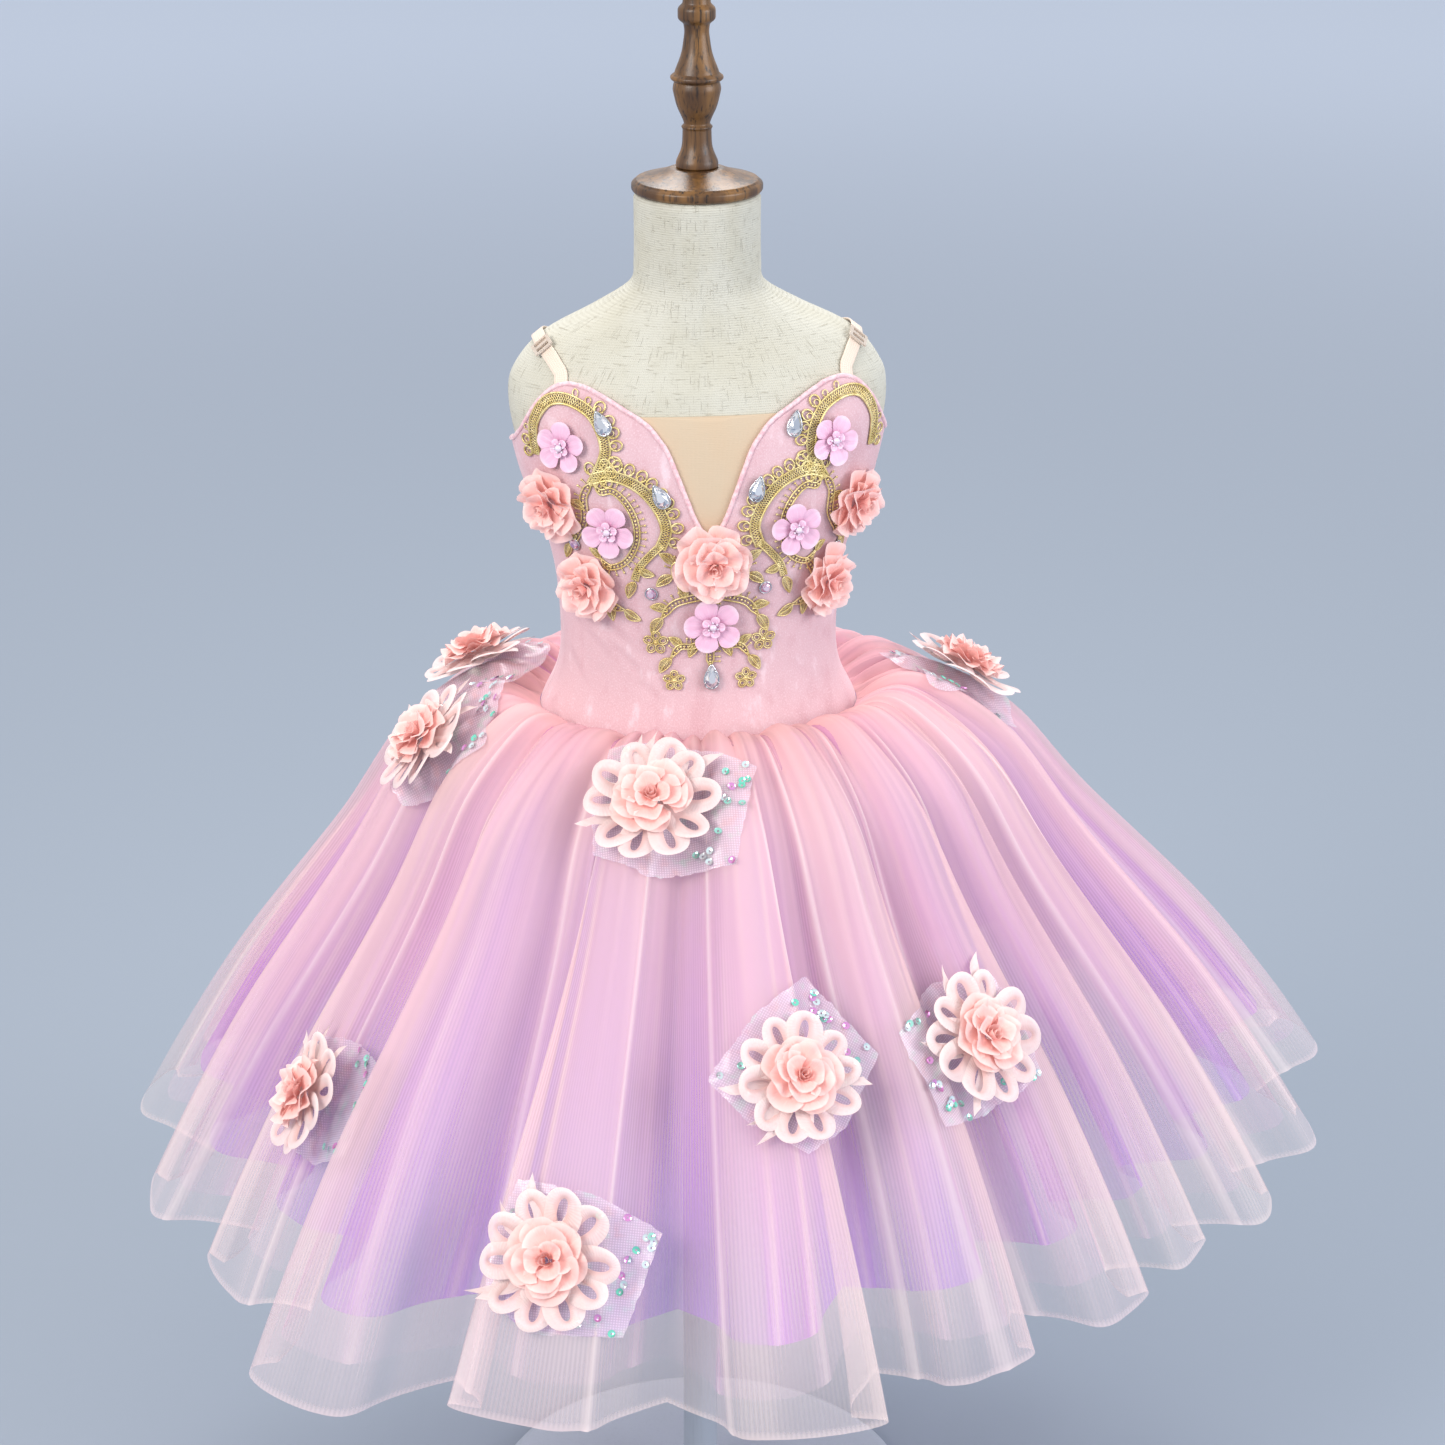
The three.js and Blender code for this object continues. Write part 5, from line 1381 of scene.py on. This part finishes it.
def skirt_shape(columns, rows, at_waist, at_hem, cut, overhang, puff, fine, seed, pinch_shift,
                in_hollow, on_fold, fade):
    """Points of a skirt layer, with its cloth coordinates, layers of thread, fold edges and clouds.

    It lies at_waist and at_hem inside the outer one, and cut is its length as a share of that one's.
    overhang is how far a fold rolls over its neighbour, puff the rise of the gathers, fine that of
    the pleats. in_hollow and on_fold thicken the net, and fade thins it out towards the hem.
    """
    table = np.array(skirt_folds, float)
    place = first_seam + np.linspace(0, len(table), columns + 1)[:, None]
    k = np.floor(place).astype(int) % len(table)
    after = (k + 1) % len(table)
    share = place - np.floor(place)
    gap = (table[after, 0] - table[k, 0]) % 360
    turn = np.radians(table[k, 0] + gap * share)
    pitch = np.radians(gap)
    eased = (1 - np.cos(np.pi * share)) / 2
    reach, hem, deep = (table[k, i] * (1 - eased) + table[after, i] * eased for i in (1, 2, 3))
    crest = ((1 + np.cos(2 * np.pi * share)) / 2) ** crest_breadth
    seam = on_form(np.degrees(turn), seam_up, velvet_top + waist_gap)
    start = np.hypot(seam[..., 0], seam[..., 1])

    def envelope(along):
        out, down = np.moveaxis(smooth_rows(panel_rows, along)[..., :2], -1, 0)
        return np.stack([start + (reach - start) * out, seam_up + (hem - seam_up) * down], -1)

    along = (np.linspace(0, 1, rows) ** 0.92 * cut)[None, :]
    opened, nest = np.moveaxis(smooth_rows(panel_rows, along)[..., 2:4], -1, 0)
    here = envelope(along)
    run = unit(envelope(np.minimum(along + 0.04, 1)) - envelope(np.maximum(along - 0.04, 0)))
    out = np.stack([-run[..., 1], run[..., 0]], -1)
    level = (along ** 2)[..., None]
    out = unit(out * (1 - level) + np.array([1.0, 0.0]) * level)

    # Gathers that puff out under the seam, then fine pleats and pressed-in creases down the panel.
    wave = 19 * turn + 1.3 * np.sin(3 * turn + seed) + 0.8 * np.sin(7 * turn + 2 * seed)
    puffed = ease_between(0, 0.07, along) * (1 - ease_between(0.16, 0.62, along))
    lift = puff * puffed * (np.abs(np.sin(wave)) ** 0.8 - 0.62)
    pleat = np.sin(47 * turn + 2.1 * np.sin(5 * turn + seed) + 1.5 * along) \
        + 0.7 * np.sin(83 * turn + 1.7 * np.sin(8 * turn + 3 * seed) - 2.0 * along)
    lift = lift + fine * pleat * ease_between(0.02, 0.3, along) * (1 - 0.35 * along)
    pinched = np.zeros(lift.shape)
    half = len(table) / 2
    for at, drift, begins, strength in pinches:
        away = (place - at - pinch_shift - drift * along + half) % len(table) - half
        pinched += strength * soft_line(away, pinch_width) * ease_between(begins, begins + 0.2, along)
    lift = lift + fine * 2.0 * pinched
    depth = opened * deep * (1 - crest) + at_waist + (at_hem - at_waist) * nest
    here = here + out * (lift - depth)[..., None]

    # Folds right of the front lean to the right and the others to the left, over the next hollow.
    leans = np.where(table[:, 0] > -10, 1.0, -1.0)
    vigour = 0.8 + 0.2 * np.sin(2.3 * np.arange(len(table)) + seed)
    right = np.where(leans > 0, overhang * vigour, plain_swell)[k]
    left = np.where(leans < 0, overhang * vigour, plain_swell)[after]
    lobe = np.sin(4 * np.pi * share)
    swell = np.where(share < 0.25, right * lobe, np.where(share > 0.75, left * lobe, plain_swell * lobe))
    angle = turn + pitch * swell * opened
    sway = 0.012 * np.sin(3.1 * place + 4 * along + seed) * along
    angle = angle + sway * pitch * 3
    up = here[..., 1] + 3.0 * np.sin(13 * turn + seed) * along ** 6
    points = np.stack([here[..., 0] * np.sin(angle), -here[..., 0] * np.cos(angle), up], -1)

    # Cloth coordinates are measured round the hem and down the panel. The net is thicker where a
    # row is shorter than the hem, along the rolled edges of the folds, and in random streaks.
    row_length = np.linalg.norm(np.diff(points, axis=0), axis=-1).sum(axis=0)
    hem_run = np.concatenate([[0], np.cumsum(np.linalg.norm(np.diff(points[:, -1], axis=0), axis=-1))])
    fall = np.linalg.norm(np.diff(points, axis=1), axis=-1).mean(axis=0)
    fall = np.concatenate([[0], np.cumsum(fall)])
    cloth = np.stack(np.broadcast_arrays(hem_run[:, None], fall[None, :]), -1)
    crowd = np.broadcast_to(row_length[-1] / row_length, points.shape[:2])
    streak = np.interp(cloth_noise(columns + 1, rows, 150, 2, seed), (0.3, 0.7), (0.7, 1.3))
    doubled = 1 + (in_hollow + (on_fold - in_hollow) * crest - 1) * opened
    # The rolled fold edges and pressed creases carry a painted highlight: the tulle paints them paler, and
    # their thicker net stands for the cloth seen edge on.
    folded = np.where(leans[k] > 0, soft_line(share - 0.17, 0.024), 0) \
        + np.where(leans[after] < 0, soft_line(share - 0.83, 0.024), 0)
    edge = np.clip(folded * ease_between(0.1, 0.4, opened) + 0.8 * pinched, 0, 1)
    down = np.broadcast_to(along, points.shape[:2])
    threads = crowd * streak * doubled * (1 - fade * ease_between(cut - 0.38, cut, along))
    threads = threads + 2.6 * edge + 1.2 * ease_between(0.992, 1.0, down)
    cloud = cloth_noise(columns + 1, rows, 26, 2, seed + 0.5)
    return points, cloth, {"threads": threads, "edge": edge, "down": down, "cloud": cloud}


# Nylon tulle: a fine open net. One layer lets most light through, and it closes up and colours where
# the gathers crowd it, along the rolled edges of the folds and at the cut hem. Along the fold edges
# and pressed creases it is also painted paler, a painted highlight.
rib_pitch = 3.2                 # the net's real rows are about 1 mm apart, drawn coarser to show
fold_highlight = "#fff1ee"


def tulle(name, waist, middle, hem, cover, streaks):
    """Tulle of three colours down its length. One layer of it covers this share of what is behind."""
    material, tree, finish = start_material(name, Roughness=0.85, IOR=1.5, Specular_IOR_Level=0.0)
    _, across, _ = cloth_place(tree)
    threads, edge, down, cloud = (add(tree, "Attribute", {}, "Fac", attribute_name=title)
                                  for title in ("threads", "edge", "down", "cloud"))
    body = tinted(tree, waist, middle, down, 0.08, 0.5)
    body = tinted(tree, body, hem, down, 0.55, 1.0)
    body = tinted(tree, body, orchid_tulle, cloud, 0.42, 0.62, 0, streaks)
    # Painted highlight: paler along the rolled fold edges and pressed creases.
    body = tinted(tree, body, fold_highlight, edge, 0.1, 0.9, 0, 0.6)
    open_net = add(tree, "MapRange", {0: threads, 1: 1.2, 2: 2.4, 3: 0.35, 4: 0.0},
                   interpolation_type="SMOOTHSTEP")
    ribs = add(tree, "Math", {0: stripes(tree, across, rib_pitch), 1: open_net, 2: 1.0},
               operation="MULTIPLY_ADD")
    thick = add(tree, "Math", {0: threads, 1: ribs}, operation="MULTIPLY")
    clear = add(tree, "Math", {0: 1 - cover, 1: thick}, operation="POWER")
    alpha = add(tree, "Math", {0: 1.0, 1: clear}, operation="SUBTRACT")
    fill(finish, {"Base Color": body, "Alpha": alpha})
    return material


def skirt_layer(name, shape, material, nodes):
    points, cloth, values = shape
    piece = make_piece(name, points, grid_faces(*points.shape[:2]), material, cloth, values)
    for node in nodes:
        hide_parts(node)
    return piece


lilac_shape = skirt_shape(
    columns=560, rows=32, at_waist=4.0, at_hem=24, cut=0.89, overhang=0.04, puff=2.6, fine=0.9, seed=3.0,
    pinch_shift=7.3, in_hollow=1.45, on_fold=1.15, fade=0.6)
lilac_at = np.degrees(np.arctan2(lilac_shape[0][..., 0], -lilac_shape[0][..., 1]))
sparse = ease_between(25, 50, lilac_at) * (1 - ease_between(80, 110, lilac_at))
lilac_shape[2]["threads"] *= 1 - 0.5 * sparse       # gathered less on the wearer's left
lilac_net = tulle("lilac_tulle", waist=orchid_tulle, middle=lilac, hem=lilac, cover=0.7, streaks=0.5)
lilac_skirt = skirt_layer("lilac_skirt", lilac_shape, lilac_net,
                          ["skirt_lilac_front", "skirt_lilac_back"])


# Pink under-skirt
# The middle tube, of the same soft nylon tulle in pink, gathered into the same seam. It is cut a
# little longer than the lilac one and hangs clear of it all the way down.
middle_shape = skirt_shape(
    columns=560, rows=34, at_waist=2.0, at_hem=12, cut=0.94, overhang=0.06, puff=3.4, fine=1.0, seed=5.0,
    pinch_shift=3.6, in_hollow=0.4, on_fold=0.95, fade=0.45)
pink_net = tulle("pink_tulle", waist="#fdc2cd", middle="#fdd0e8", hem="#fad8ee", cover=0.18, streaks=0.4)
middle_skirt = skirt_layer("pink_under_skirt", middle_shape, pink_net,
                           ["skirt_middle_front", "skirt_middle_back"])


# Outer skirt
# The longest and widest tube, of peachy pink tulle with its cut edge left raw. Its deep folds roll
# over to one side, and a painted highlight draws a crisp pale line along each of them down to the hem.
outer_shape = skirt_shape(
    columns=960, rows=52, at_waist=0.0, at_hem=0, cut=1.0, overhang=0.27, puff=6.0, fine=1.2, seed=1.0,
    pinch_shift=0.0, in_hollow=0.55, on_fold=1.3, fade=0.35)
peach_net = tulle("peach_pink_tulle", waist="#ffc8c8", middle="#ffdad8", hem="#ffeae6", cover=0.24,
                  streaks=0.1)
outer_skirt = skirt_layer("outer_skirt", outer_shape, peach_net,
                          ["skirt_outer_front", "skirt_outer_back"])


# Organza scraps with sequins
# Torn pieces of thin iridescent organza, with cupped ring sequins scattered over them. Each is laid
# on the folds under a flower and tacked with it, so it sinks a little between the crests.
skirt_flower_rows = [
    # turn, share of the way down the panel, spin, size
    (-16, 0.37, 10, 1.0), (-83, 0.38, 70, 0.95), (-62, 0.73, 30, 0.95), (-22, 0.80, 0, 1.02),
    (7, 0.65, 50, 0.95), (37, 0.66, 200, 1.02), (98, 0.32, 120, 0.95), (-110, 0.24, 20, 0.92),
    (142, 0.74, 80, 1.0), (178, 0.40, 150, 1.0), (-140, 0.78, 260, 0.95)]
scrap_corners = [
    # direction in degrees and reach in millimetres of its torn corners
    (20, 72), (62, 50), (118, 57), (160, 44), (215, 50), (262, 47), (318, 66)]
scrap_gap = 0.5
flower_lift = 1.8
tack_reach = 43                 # it rests on the highest folds this near its middle
deepest_sag = 16.0
torn_edge = 0.45
sequin_radius, sequin_cup, sequin_hole = 2.5, 1.5, 0.75
sequins_each = 20
sequin_corners = (0, 0, 6, 0, 6, 2)     # most lie in the corners that stick out furthest


def envelope_point(turn, along):
    """Point of the even skirt through the crests of the folds."""
    table = np.array(skirt_folds + [(180,) + skirt_folds[0][1:]], float)
    turn = (turn + 180) % 360 - 180
    k = np.clip(np.searchsorted(table[:, 0], turn, side="right") - 1, 0, len(table) - 2)
    share = (turn - table[k, 0]) / (table[k + 1, 0] - table[k, 0])
    eased = (1 - math.cos(math.pi * share)) / 2
    reach, hem = table[k, 1:3] * (1 - eased) + table[k + 1, 1:3] * eased
    seam = on_form(turn, seam_up, velvet_top + waist_gap)
    start = math.hypot(seam[0], seam[1])
    out, down = smooth_rows(panel_rows, along)[:2]
    radius, up = start + (reach - start) * out, seam_up + (hem - seam_up) * down
    return np.array([radius * math.sin(math.radians(turn)), -radius * math.cos(math.radians(turn)), up])


def skirt_frame(turn, along, spin):
    """Point on the even skirt with directions side, rise and out, spun in its own plane."""
    side = unit(envelope_point(turn + 4, along) - envelope_point(turn - 4, along))
    climb = unit(envelope_point(turn, along - 0.04) - envelope_point(turn, along + 0.04))
    out = unit(np.cross(side, climb))
    return (envelope_point(turn, along), *spun(side, np.cross(out, side), spin), out)


outer_points = outer_shape[0].reshape(-1, 3)
outer_faces = grid_faces(*outer_shape[0].shape[:2])
outer_tree = BVHTree.FromPolygons([tuple(p) for p in outer_points], outer_faces)


def seated(place, reach):
    """The frame moved out until it lies on the highest folds within its reach."""
    away = outer_points - place[0]
    flat = np.hypot(away @ place[1], away @ place[2])
    lift = (away @ place[3])[flat < reach].max() + scrap_gap
    return (place[0] + lift * place[3],) + place[1:]


def drop_on(place, x, y, limit, spare):
    """Heights at which a cloth laid over the folds rests, as measured from the frame's plane."""
    heights = np.zeros(x.shape)
    direction = Vector(-place[3])
    above, reach, highest = 25.0, 90.0, 20.0
    for index in np.ndindex(x.shape):
        start = in_frame(place, x[index], y[index], np.array(above))
        found = outer_tree.ray_cast(Vector(start), direction, reach)
        heights[index] = above - found[3] + spare if found[0] is not None else -limit
    return np.clip(heights, -limit, highest)


def smoothed(heights, rounds):
    """Heights eased like a cloth that spans hollows: raised towards the mean of their neighbours."""
    for _ in range(rounds):
        around = (np.roll(heights, 1, 0) + np.roll(heights, -1, 0)) / 2
        inner = heights.copy()
        inner[:, 1:-1] = (heights[:, 2:] + heights[:, :-2]) / 2
        heights = np.maximum(heights, (around + inner) / 2 - 0.02)
    return heights


# Iridescent organza: sheer, crisp and glassy, pink with mint and lilac gleams.
organza_pitch = 1.6             # real threads lie about 0.2 mm apart, drawn coarser to show
organza_pink = "#fbd5dd"
organza_lilac = "#f6e3f4"
organza_mint = "#dff3ee"


def iridescent_organza():
    material, tree, finish = start_material("iridescent_organza", Roughness=0.28, IOR=1.5,
                                            Coat_Weight=0.5)
    place, across, up = cloth_place(tree)
    weave = plain_weave(tree, across, up, organza_pitch)
    gleam = stretched_noise(tree, place, (14, 14, 1), 3.0)
    tone = tinted(tree, organza_pink, organza_lilac, gleam, 0.3, 0.5)
    tone = tinted(tree, tone, organza_mint, gleam, 0.52, 0.7)
    relief = add(tree, "Bump", {"Height": gleam, "Distance": 0.8 * metre})
    alpha = add(tree, "Math", {0: weave, 1: 0.22, 2: 0.38}, operation="MULTIPLY_ADD")
    fill(finish, {"Base Color": tone, "Alpha": alpha, "Normal": relief})
    return material


# Ring sequins: thin cupped film with a mirror-bright mint, white or pink lustre.
def sequin_film():
    material, tree, finish = start_material("iridescent_sequin_film", Roughness=0.14, IOR=1.5,
                                            Metallic=0.6, Coat_Weight=1.0)
    lustre = add(tree, "Attribute", {}, "Fac", attribute_name="lustre")
    tone = tinted(tree, "#7ff0d4", "#eafcff", lustre, 0.0, 0.5)
    fill(finish, {"Base Color": tinted(tree, tone, "#f08fe0", lustre, 0.55, 1.0)})
    return material


organza = iridescent_organza()
sequin_material = sequin_film()


def straight_reach(directions):
    """Reach in each direction of the outline that joins the scrap's corners by straight lines."""
    table = np.array(scrap_corners + [(scrap_corners[0][0] + 360, scrap_corners[0][1])], float)
    angles = np.radians(table[:, 0])
    corners = table[:, 1:] * np.stack([np.cos(angles), np.sin(angles)], -1)
    turned_by = np.where(directions < table[0, 0], directions + 360, directions)
    k = np.clip(np.searchsorted(table[:, 0], turned_by, side="right") - 1, 0, len(table) - 2)
    start, edge = corners[k], corners[k + 1] - corners[k]
    x, y = np.cos(np.radians(directions)), np.sin(np.radians(directions))
    return (start[:, 0] * edge[:, 1] - start[:, 1] * edge[:, 0]) / (x * edge[:, 1] - y * edge[:, 0])


def scrap_grid(place, size, rng):
    """A torn scrap as rings from its middle out to its ragged edge."""
    directions = np.linspace(0, 360, 113)
    reach = straight_reach(directions) * size * rng.uniform(0.94, 1.04)
    reach = reach + rng.normal(0, torn_edge, len(directions))
    reach[-1] = reach[0]
    shares = np.linspace(0.04, 1, 20)
    angles = np.radians(directions)[:, None]
    x, y = reach[:, None] * shares * np.cos(angles), reach[:, None] * shares * np.sin(angles)
    heights = smoothed(drop_on(place, x, y, deepest_sag, scrap_gap), 16)
    ripple = 0.9 * np.sin(3 * angles + rng.uniform(0, 6)) + 0.6 * np.sin(7 * angles + rng.uniform(0, 6))
    turned_up = 2.4 * np.maximum(np.sin(2 * angles + 1), 0)
    return x, y, heights + np.maximum(ripple, 0) * shares ** 2 + turned_up * shares ** 6


def sequin_parts(place, x, y, heights, rng):
    """Cupped ring sequins sewn near the edge of a scrap, in its corners."""
    parts, values = [], []
    around = 12
    angles = np.arange(around) / around * 2 * np.pi
    for count in range(sequins_each):
        corner = scrap_corners[sequin_corners[count % len(sequin_corners)]][0]
        direction = int(((corner + rng.normal(0, 14)) % 360) / 360 * (x.shape[0] - 1))
        ring = int(rng.integers(14, 19))
        cx, cy, cz = x[direction, ring], y[direction, ring], heights[direction, ring]
        tilt_x, tilt_y = rng.normal(0, 0.16, 2)
        rows = []
        for radius, lift in ((sequin_hole, 0.0), (sequin_cup, 0.12), (sequin_radius, 0.55)):
            dx, dy = radius * np.cos(angles), radius * np.sin(angles)
            rows.append(in_frame(place, cx + dx, cy + dy, cz + 1.0 + lift + dx * tilt_x + dy * tilt_y))
        points = np.stack(rows, 1).reshape(-1, 3)
        parts.append((points, grid_faces(around, 3, closed=True)))
        values += [rng.choice([0.05, 0.2, 0.45, 0.5, 0.9])] * len(points)
    points, faces = gather_parts(parts)
    return points, faces, values


flower_seats = []
for number, (turn, along, spin, size) in enumerate(skirt_flower_rows, 1):
    rng = np.random.default_rng(400 + number)
    seat = seated(skirt_frame(turn, along, spin), tack_reach * size)
    flower_seats.append(seat)
    x, y, heights = scrap_grid(seat, size, rng)
    points = in_frame(seat, x, y, heights)
    cloth = np.stack([x, y], -1)
    scrap = make_piece(f"organza_scrap_{number}", points, grid_faces(*x.shape), organza, cloth)
    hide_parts(f"flower_scrap_{number}")
    points, faces, values = sequin_parts(seat, x, y, heights, rng)
    make_piece(f"ring_sequins_{number}", points, faces, sequin_material, None, {"lustre": values})


# Skirt flowers
# Ten flat loops of pale ribbon, heat-cut and folded so that each leaves an open eye, stitched in a
# ring, with a loose coral chiffon rosette in the middle and a few torn tails hanging out below.
loop_count = 10
loop_centre = 24.08             # from the middle of the flower to the middle of a loop
loop_long, loop_wide = 21.0, 13.5       # half sizes of a loop, and of the open eye in it
eye_long, eye_wide = 8.5, 3.2
eye_shift = 6                   # how far the eye lies beyond the middle of its loop
lowest_ribbon = 0.5
tail_count = 4
ribbon_rib = 1.4                # real ribs are about 0.5 mm apart, drawn coarser to show
ribbon_pale = "#fde3df"
ribbon_peach = "#f8c8c1"
flower_tiers = [
    # petals, reach and start as shares of the rosette, half spread, lift at the foot and tip, frill
    (5, 1.00, 0.20, 46, 6.0, 10.0, 2.2),
    (5, 0.90, 0.15, 48, 7.0, 14.0, 2.8),
    (4, 0.72, 0.10, 56, 8.0, 17.0, 2.8),
    (3, 0.48, 0.06, 66, 8.5, 19.0, 2.0),
]


def ribbon_loops(place, size, rng):
    """A ring of flat loops that widen outward, each tilted a little and open in the middle."""
    grids = []
    around = np.linspace(0, 2 * np.pi, 33)[:, None]
    v = np.linspace(0, 1, 6)[None, :]
    first = rng.uniform(0, 360)
    centre = loop_centre * size
    for k in range(loop_count):
        angle = math.radians(first + (k + rng.uniform(-0.18, 0.18)) / loop_count * 360)
        grow = size * rng.uniform(0.9, 1.06)
        reach_long = (eye_long + (loop_long - eye_long) * v) * grow
        reach_wide = (eye_wide + (loop_wide - eye_wide) * v) * grow * (0.92 + 0.22 * np.cos(around))
        uneven = 1 + 0.04 * np.cos(3 * around + 2 * k) * v
        along = centre + eye_shift * (1 - v) * grow + reach_long * np.cos(around) * uneven
        across = reach_wide * np.sin(around) * uneven
        lift = 1.4 + 1.0 * (k % 3) + 1.5 * np.sin(np.pi * v) ** 0.7 + 1.2 * np.sin(2 * around + k) * v
        lift = lift + rng.uniform(-0.1, 0.2) * (along - centre) * 0.5
        lift = lift + rng.choice([-1, 1]) * 0.16 * across
        lift = np.maximum(lift + 2.0 * np.clip((along - centre) / loop_long, 0, 1), lowest_ribbon)
        x = along * math.cos(angle) - across * math.sin(angle)
        y = along * math.sin(angle) + across * math.cos(angle)
        cloth = np.stack([around * 11 + 0 * v, v * 8 + 0 * around], -1)
        grids.append((in_frame(place, x, y, lift), cloth, v + 0 * around))
    return grids


def torn_tails(place, size, rng):
    """Narrow torn ends of the same ribbon that hang out from under the loops."""
    grids = []
    u = np.linspace(-1, 1, 5)[:, None]
    v = np.linspace(0, 1, 10)[None, :]
    first = rng.uniform(0, 360)
    for k in range(tail_count):
        angle = math.radians(first + k * rng.uniform(28, 60))
        long = size * rng.uniform(46, 56)
        half_wide = (5.5 - 2.8 * v) * (1 + 0.15 * np.sin(9 * v + k)) * size
        along = long * (0.3 + 0.7 * v) * (1 - 0.07 * u * v)
        bend = angle + 0.16 * np.sin(2.5 * v + k) * v
        x = along * np.cos(bend) - half_wide * u * np.sin(bend)
        y = along * np.sin(bend) + half_wide * u * np.cos(bend)
        lift = 1.2 + 1.2 * np.sin(4 * v + k) * v + 0.5 * u ** 2 + 0.4 * k
        cloth = np.stack([u * 6 + 0 * v, v * long + 0 * u], -1)
        grids.append((in_frame(place, x, y, np.maximum(lift, 0.4) + 0 * x), cloth, v + 0 * u))
    return grids


# Pale ribbon: matt, half sheer polyester with a fine cross rib, peach round the eye and in patches.
def pale_ribbon():
    material, tree, finish = start_material("pale_peach_ribbon", Roughness=0.6, IOR=1.5,
                                            Sheen_Weight=0.4)
    place, across, _ = cloth_place(tree)
    tip = add(tree, "Attribute", {}, "Fac", attribute_name="tip")
    ribs = stripes(tree, across, ribbon_rib)
    cloudy = stretched_noise(tree, place, (9, 6, 1), 2.0)
    tone = tinted(tree, ribbon_peach, ribbon_pale, tip, 0.0, 0.5, 0.15)
    tone = tinted(tree, tone, ribbon_peach, cloudy, 0.5, 0.75, 0, 0.4)
    relief = add(tree, "Bump", {"Height": ribs, "Distance": 0.12 * metre})
    sheer = add(tree, "MapRange", {0: tip, 1: 0.5, 2: 1.0, 3: 0.78, 4: 0.9},
                interpolation_type="SMOOTHSTEP")
    fill(finish, {"Base Color": tone, "Normal": relief, "Alpha": sheer})
    return material


ribbon = pale_ribbon()
rosette_half = 30
for number, ((_, _, _, size), scrap_seat) in enumerate(zip(skirt_flower_rows, flower_seats), 1):
    rng = np.random.default_rng(500 + number)
    seat = (scrap_seat[0] + flower_lift * scrap_seat[3],) + scrap_seat[1:]
    grids = ribbon_loops(seat, size, rng) + torn_tails(seat, size, rng)
    loops = grid_piece(f"ribbon_loops_{number}", grids, ribbon)
    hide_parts(f"skirt_flower_{number}")
    grids = frilled_petals(seat, rosette_half * size, flower_tiers, rng)
    grids += rolled_bud(seat, rosette_half * size, rng, 1.15)
    middle = grid_piece(f"flower_rosette_{number}", grids, chiffon)


# Floor
# A wide level studio floor of plain pale paper, which fills the picture from this height, with soft
# light from above, from both sides and from a bright room.
floor_half = 14                 # lengths in this section are metres
paper_near = "#959fac"
paper_far = "#d6e2f4"           # paler away from the lamps, so that the ground looks even
even_from, even_to = 1.2, 6.5   # distance from the form
lamp_aim = Vector((0, 0, 0.62))
lamps = [
    # name, turn, height, distance, size, watts, colour
    ("softbox_left", -48, 2.3, 2.6, 1.5, 56, "#fffaf5"),
    ("softbox_right", 58, 1.7, 2.8, 1.8, 46, "#f7f9ff"),
    ("softbox_top", 175, 2.6, 1.6, 1.3, 36, "#ffffff"),
]


def soft_light(name, turn, up, away, size, power, colour):
    data = bpy.data.lights.new(name, "AREA")
    data.shape = "DISK"
    data.size = size
    data.energy = power
    data.color = linear(colour)[:3]
    lamp = bpy.data.objects.new(name, data)
    angle = math.radians(turn)
    lamp.location = Vector((math.sin(angle) * away, -math.cos(angle) * away, up))
    lamp.rotation_mode = "QUATERNION"
    lamp.rotation_quaternion = (lamp_aim - lamp.location).to_track_quat("-Z", "Y")
    bpy.context.scene.collection.objects.link(lamp)


# Uncoated background paper: matt, even and very slightly blue.
def plain_paper():
    material, tree, finish = start_material("plain_grey_paper", Roughness=0.95, IOR=1.45)
    place = add(tree, "TexCoord", {}, "Object")
    away = add(tree, "VectorMath", {0: place}, "Value", operation="LENGTH")
    fill(finish, {"Base Color": tinted(tree, paper_near, paper_far, away, even_from, even_to)})
    return material


floor_mesh = bpy.data.meshes.new("studio_floor")
floor_corners = [(x * floor_half, y * floor_half, 0) for x, y in ((-1, -1), (1, -1), (1, 1), (-1, 1))]
floor_mesh.from_pydata(floor_corners, [], [(0, 1, 2, 3)])
floor_mesh.materials.append(plain_paper())
floor = bpy.data.objects.new("studio_floor", floor_mesh)
bpy.context.scene.collection.objects.link(floor)

world = bpy.data.worlds.new("bright_room")
world.use_nodes = True
fill(world.node_tree.nodes["Background"].inputs, {"Color": "#f1f2f6", "Strength": 0.84})
bpy.context.scene.world = world
for lamp in lamps:
    soft_light(*lamp)
bpy.context.scene.view_settings.view_transform = "Standard"

# Light paths are kept short, because every layer of tulle is one more surface to look through.
paths = bpy.context.scene.cycles
paths.max_bounces = 5
paths.diffuse_bounces = 2
paths.glossy_bounces = 2
paths.transmission_bounces = 5
paths.transparent_max_bounces = 18
paths.use_light_tree = False
paths.caustics_reflective = False
paths.caustics_refractive = False
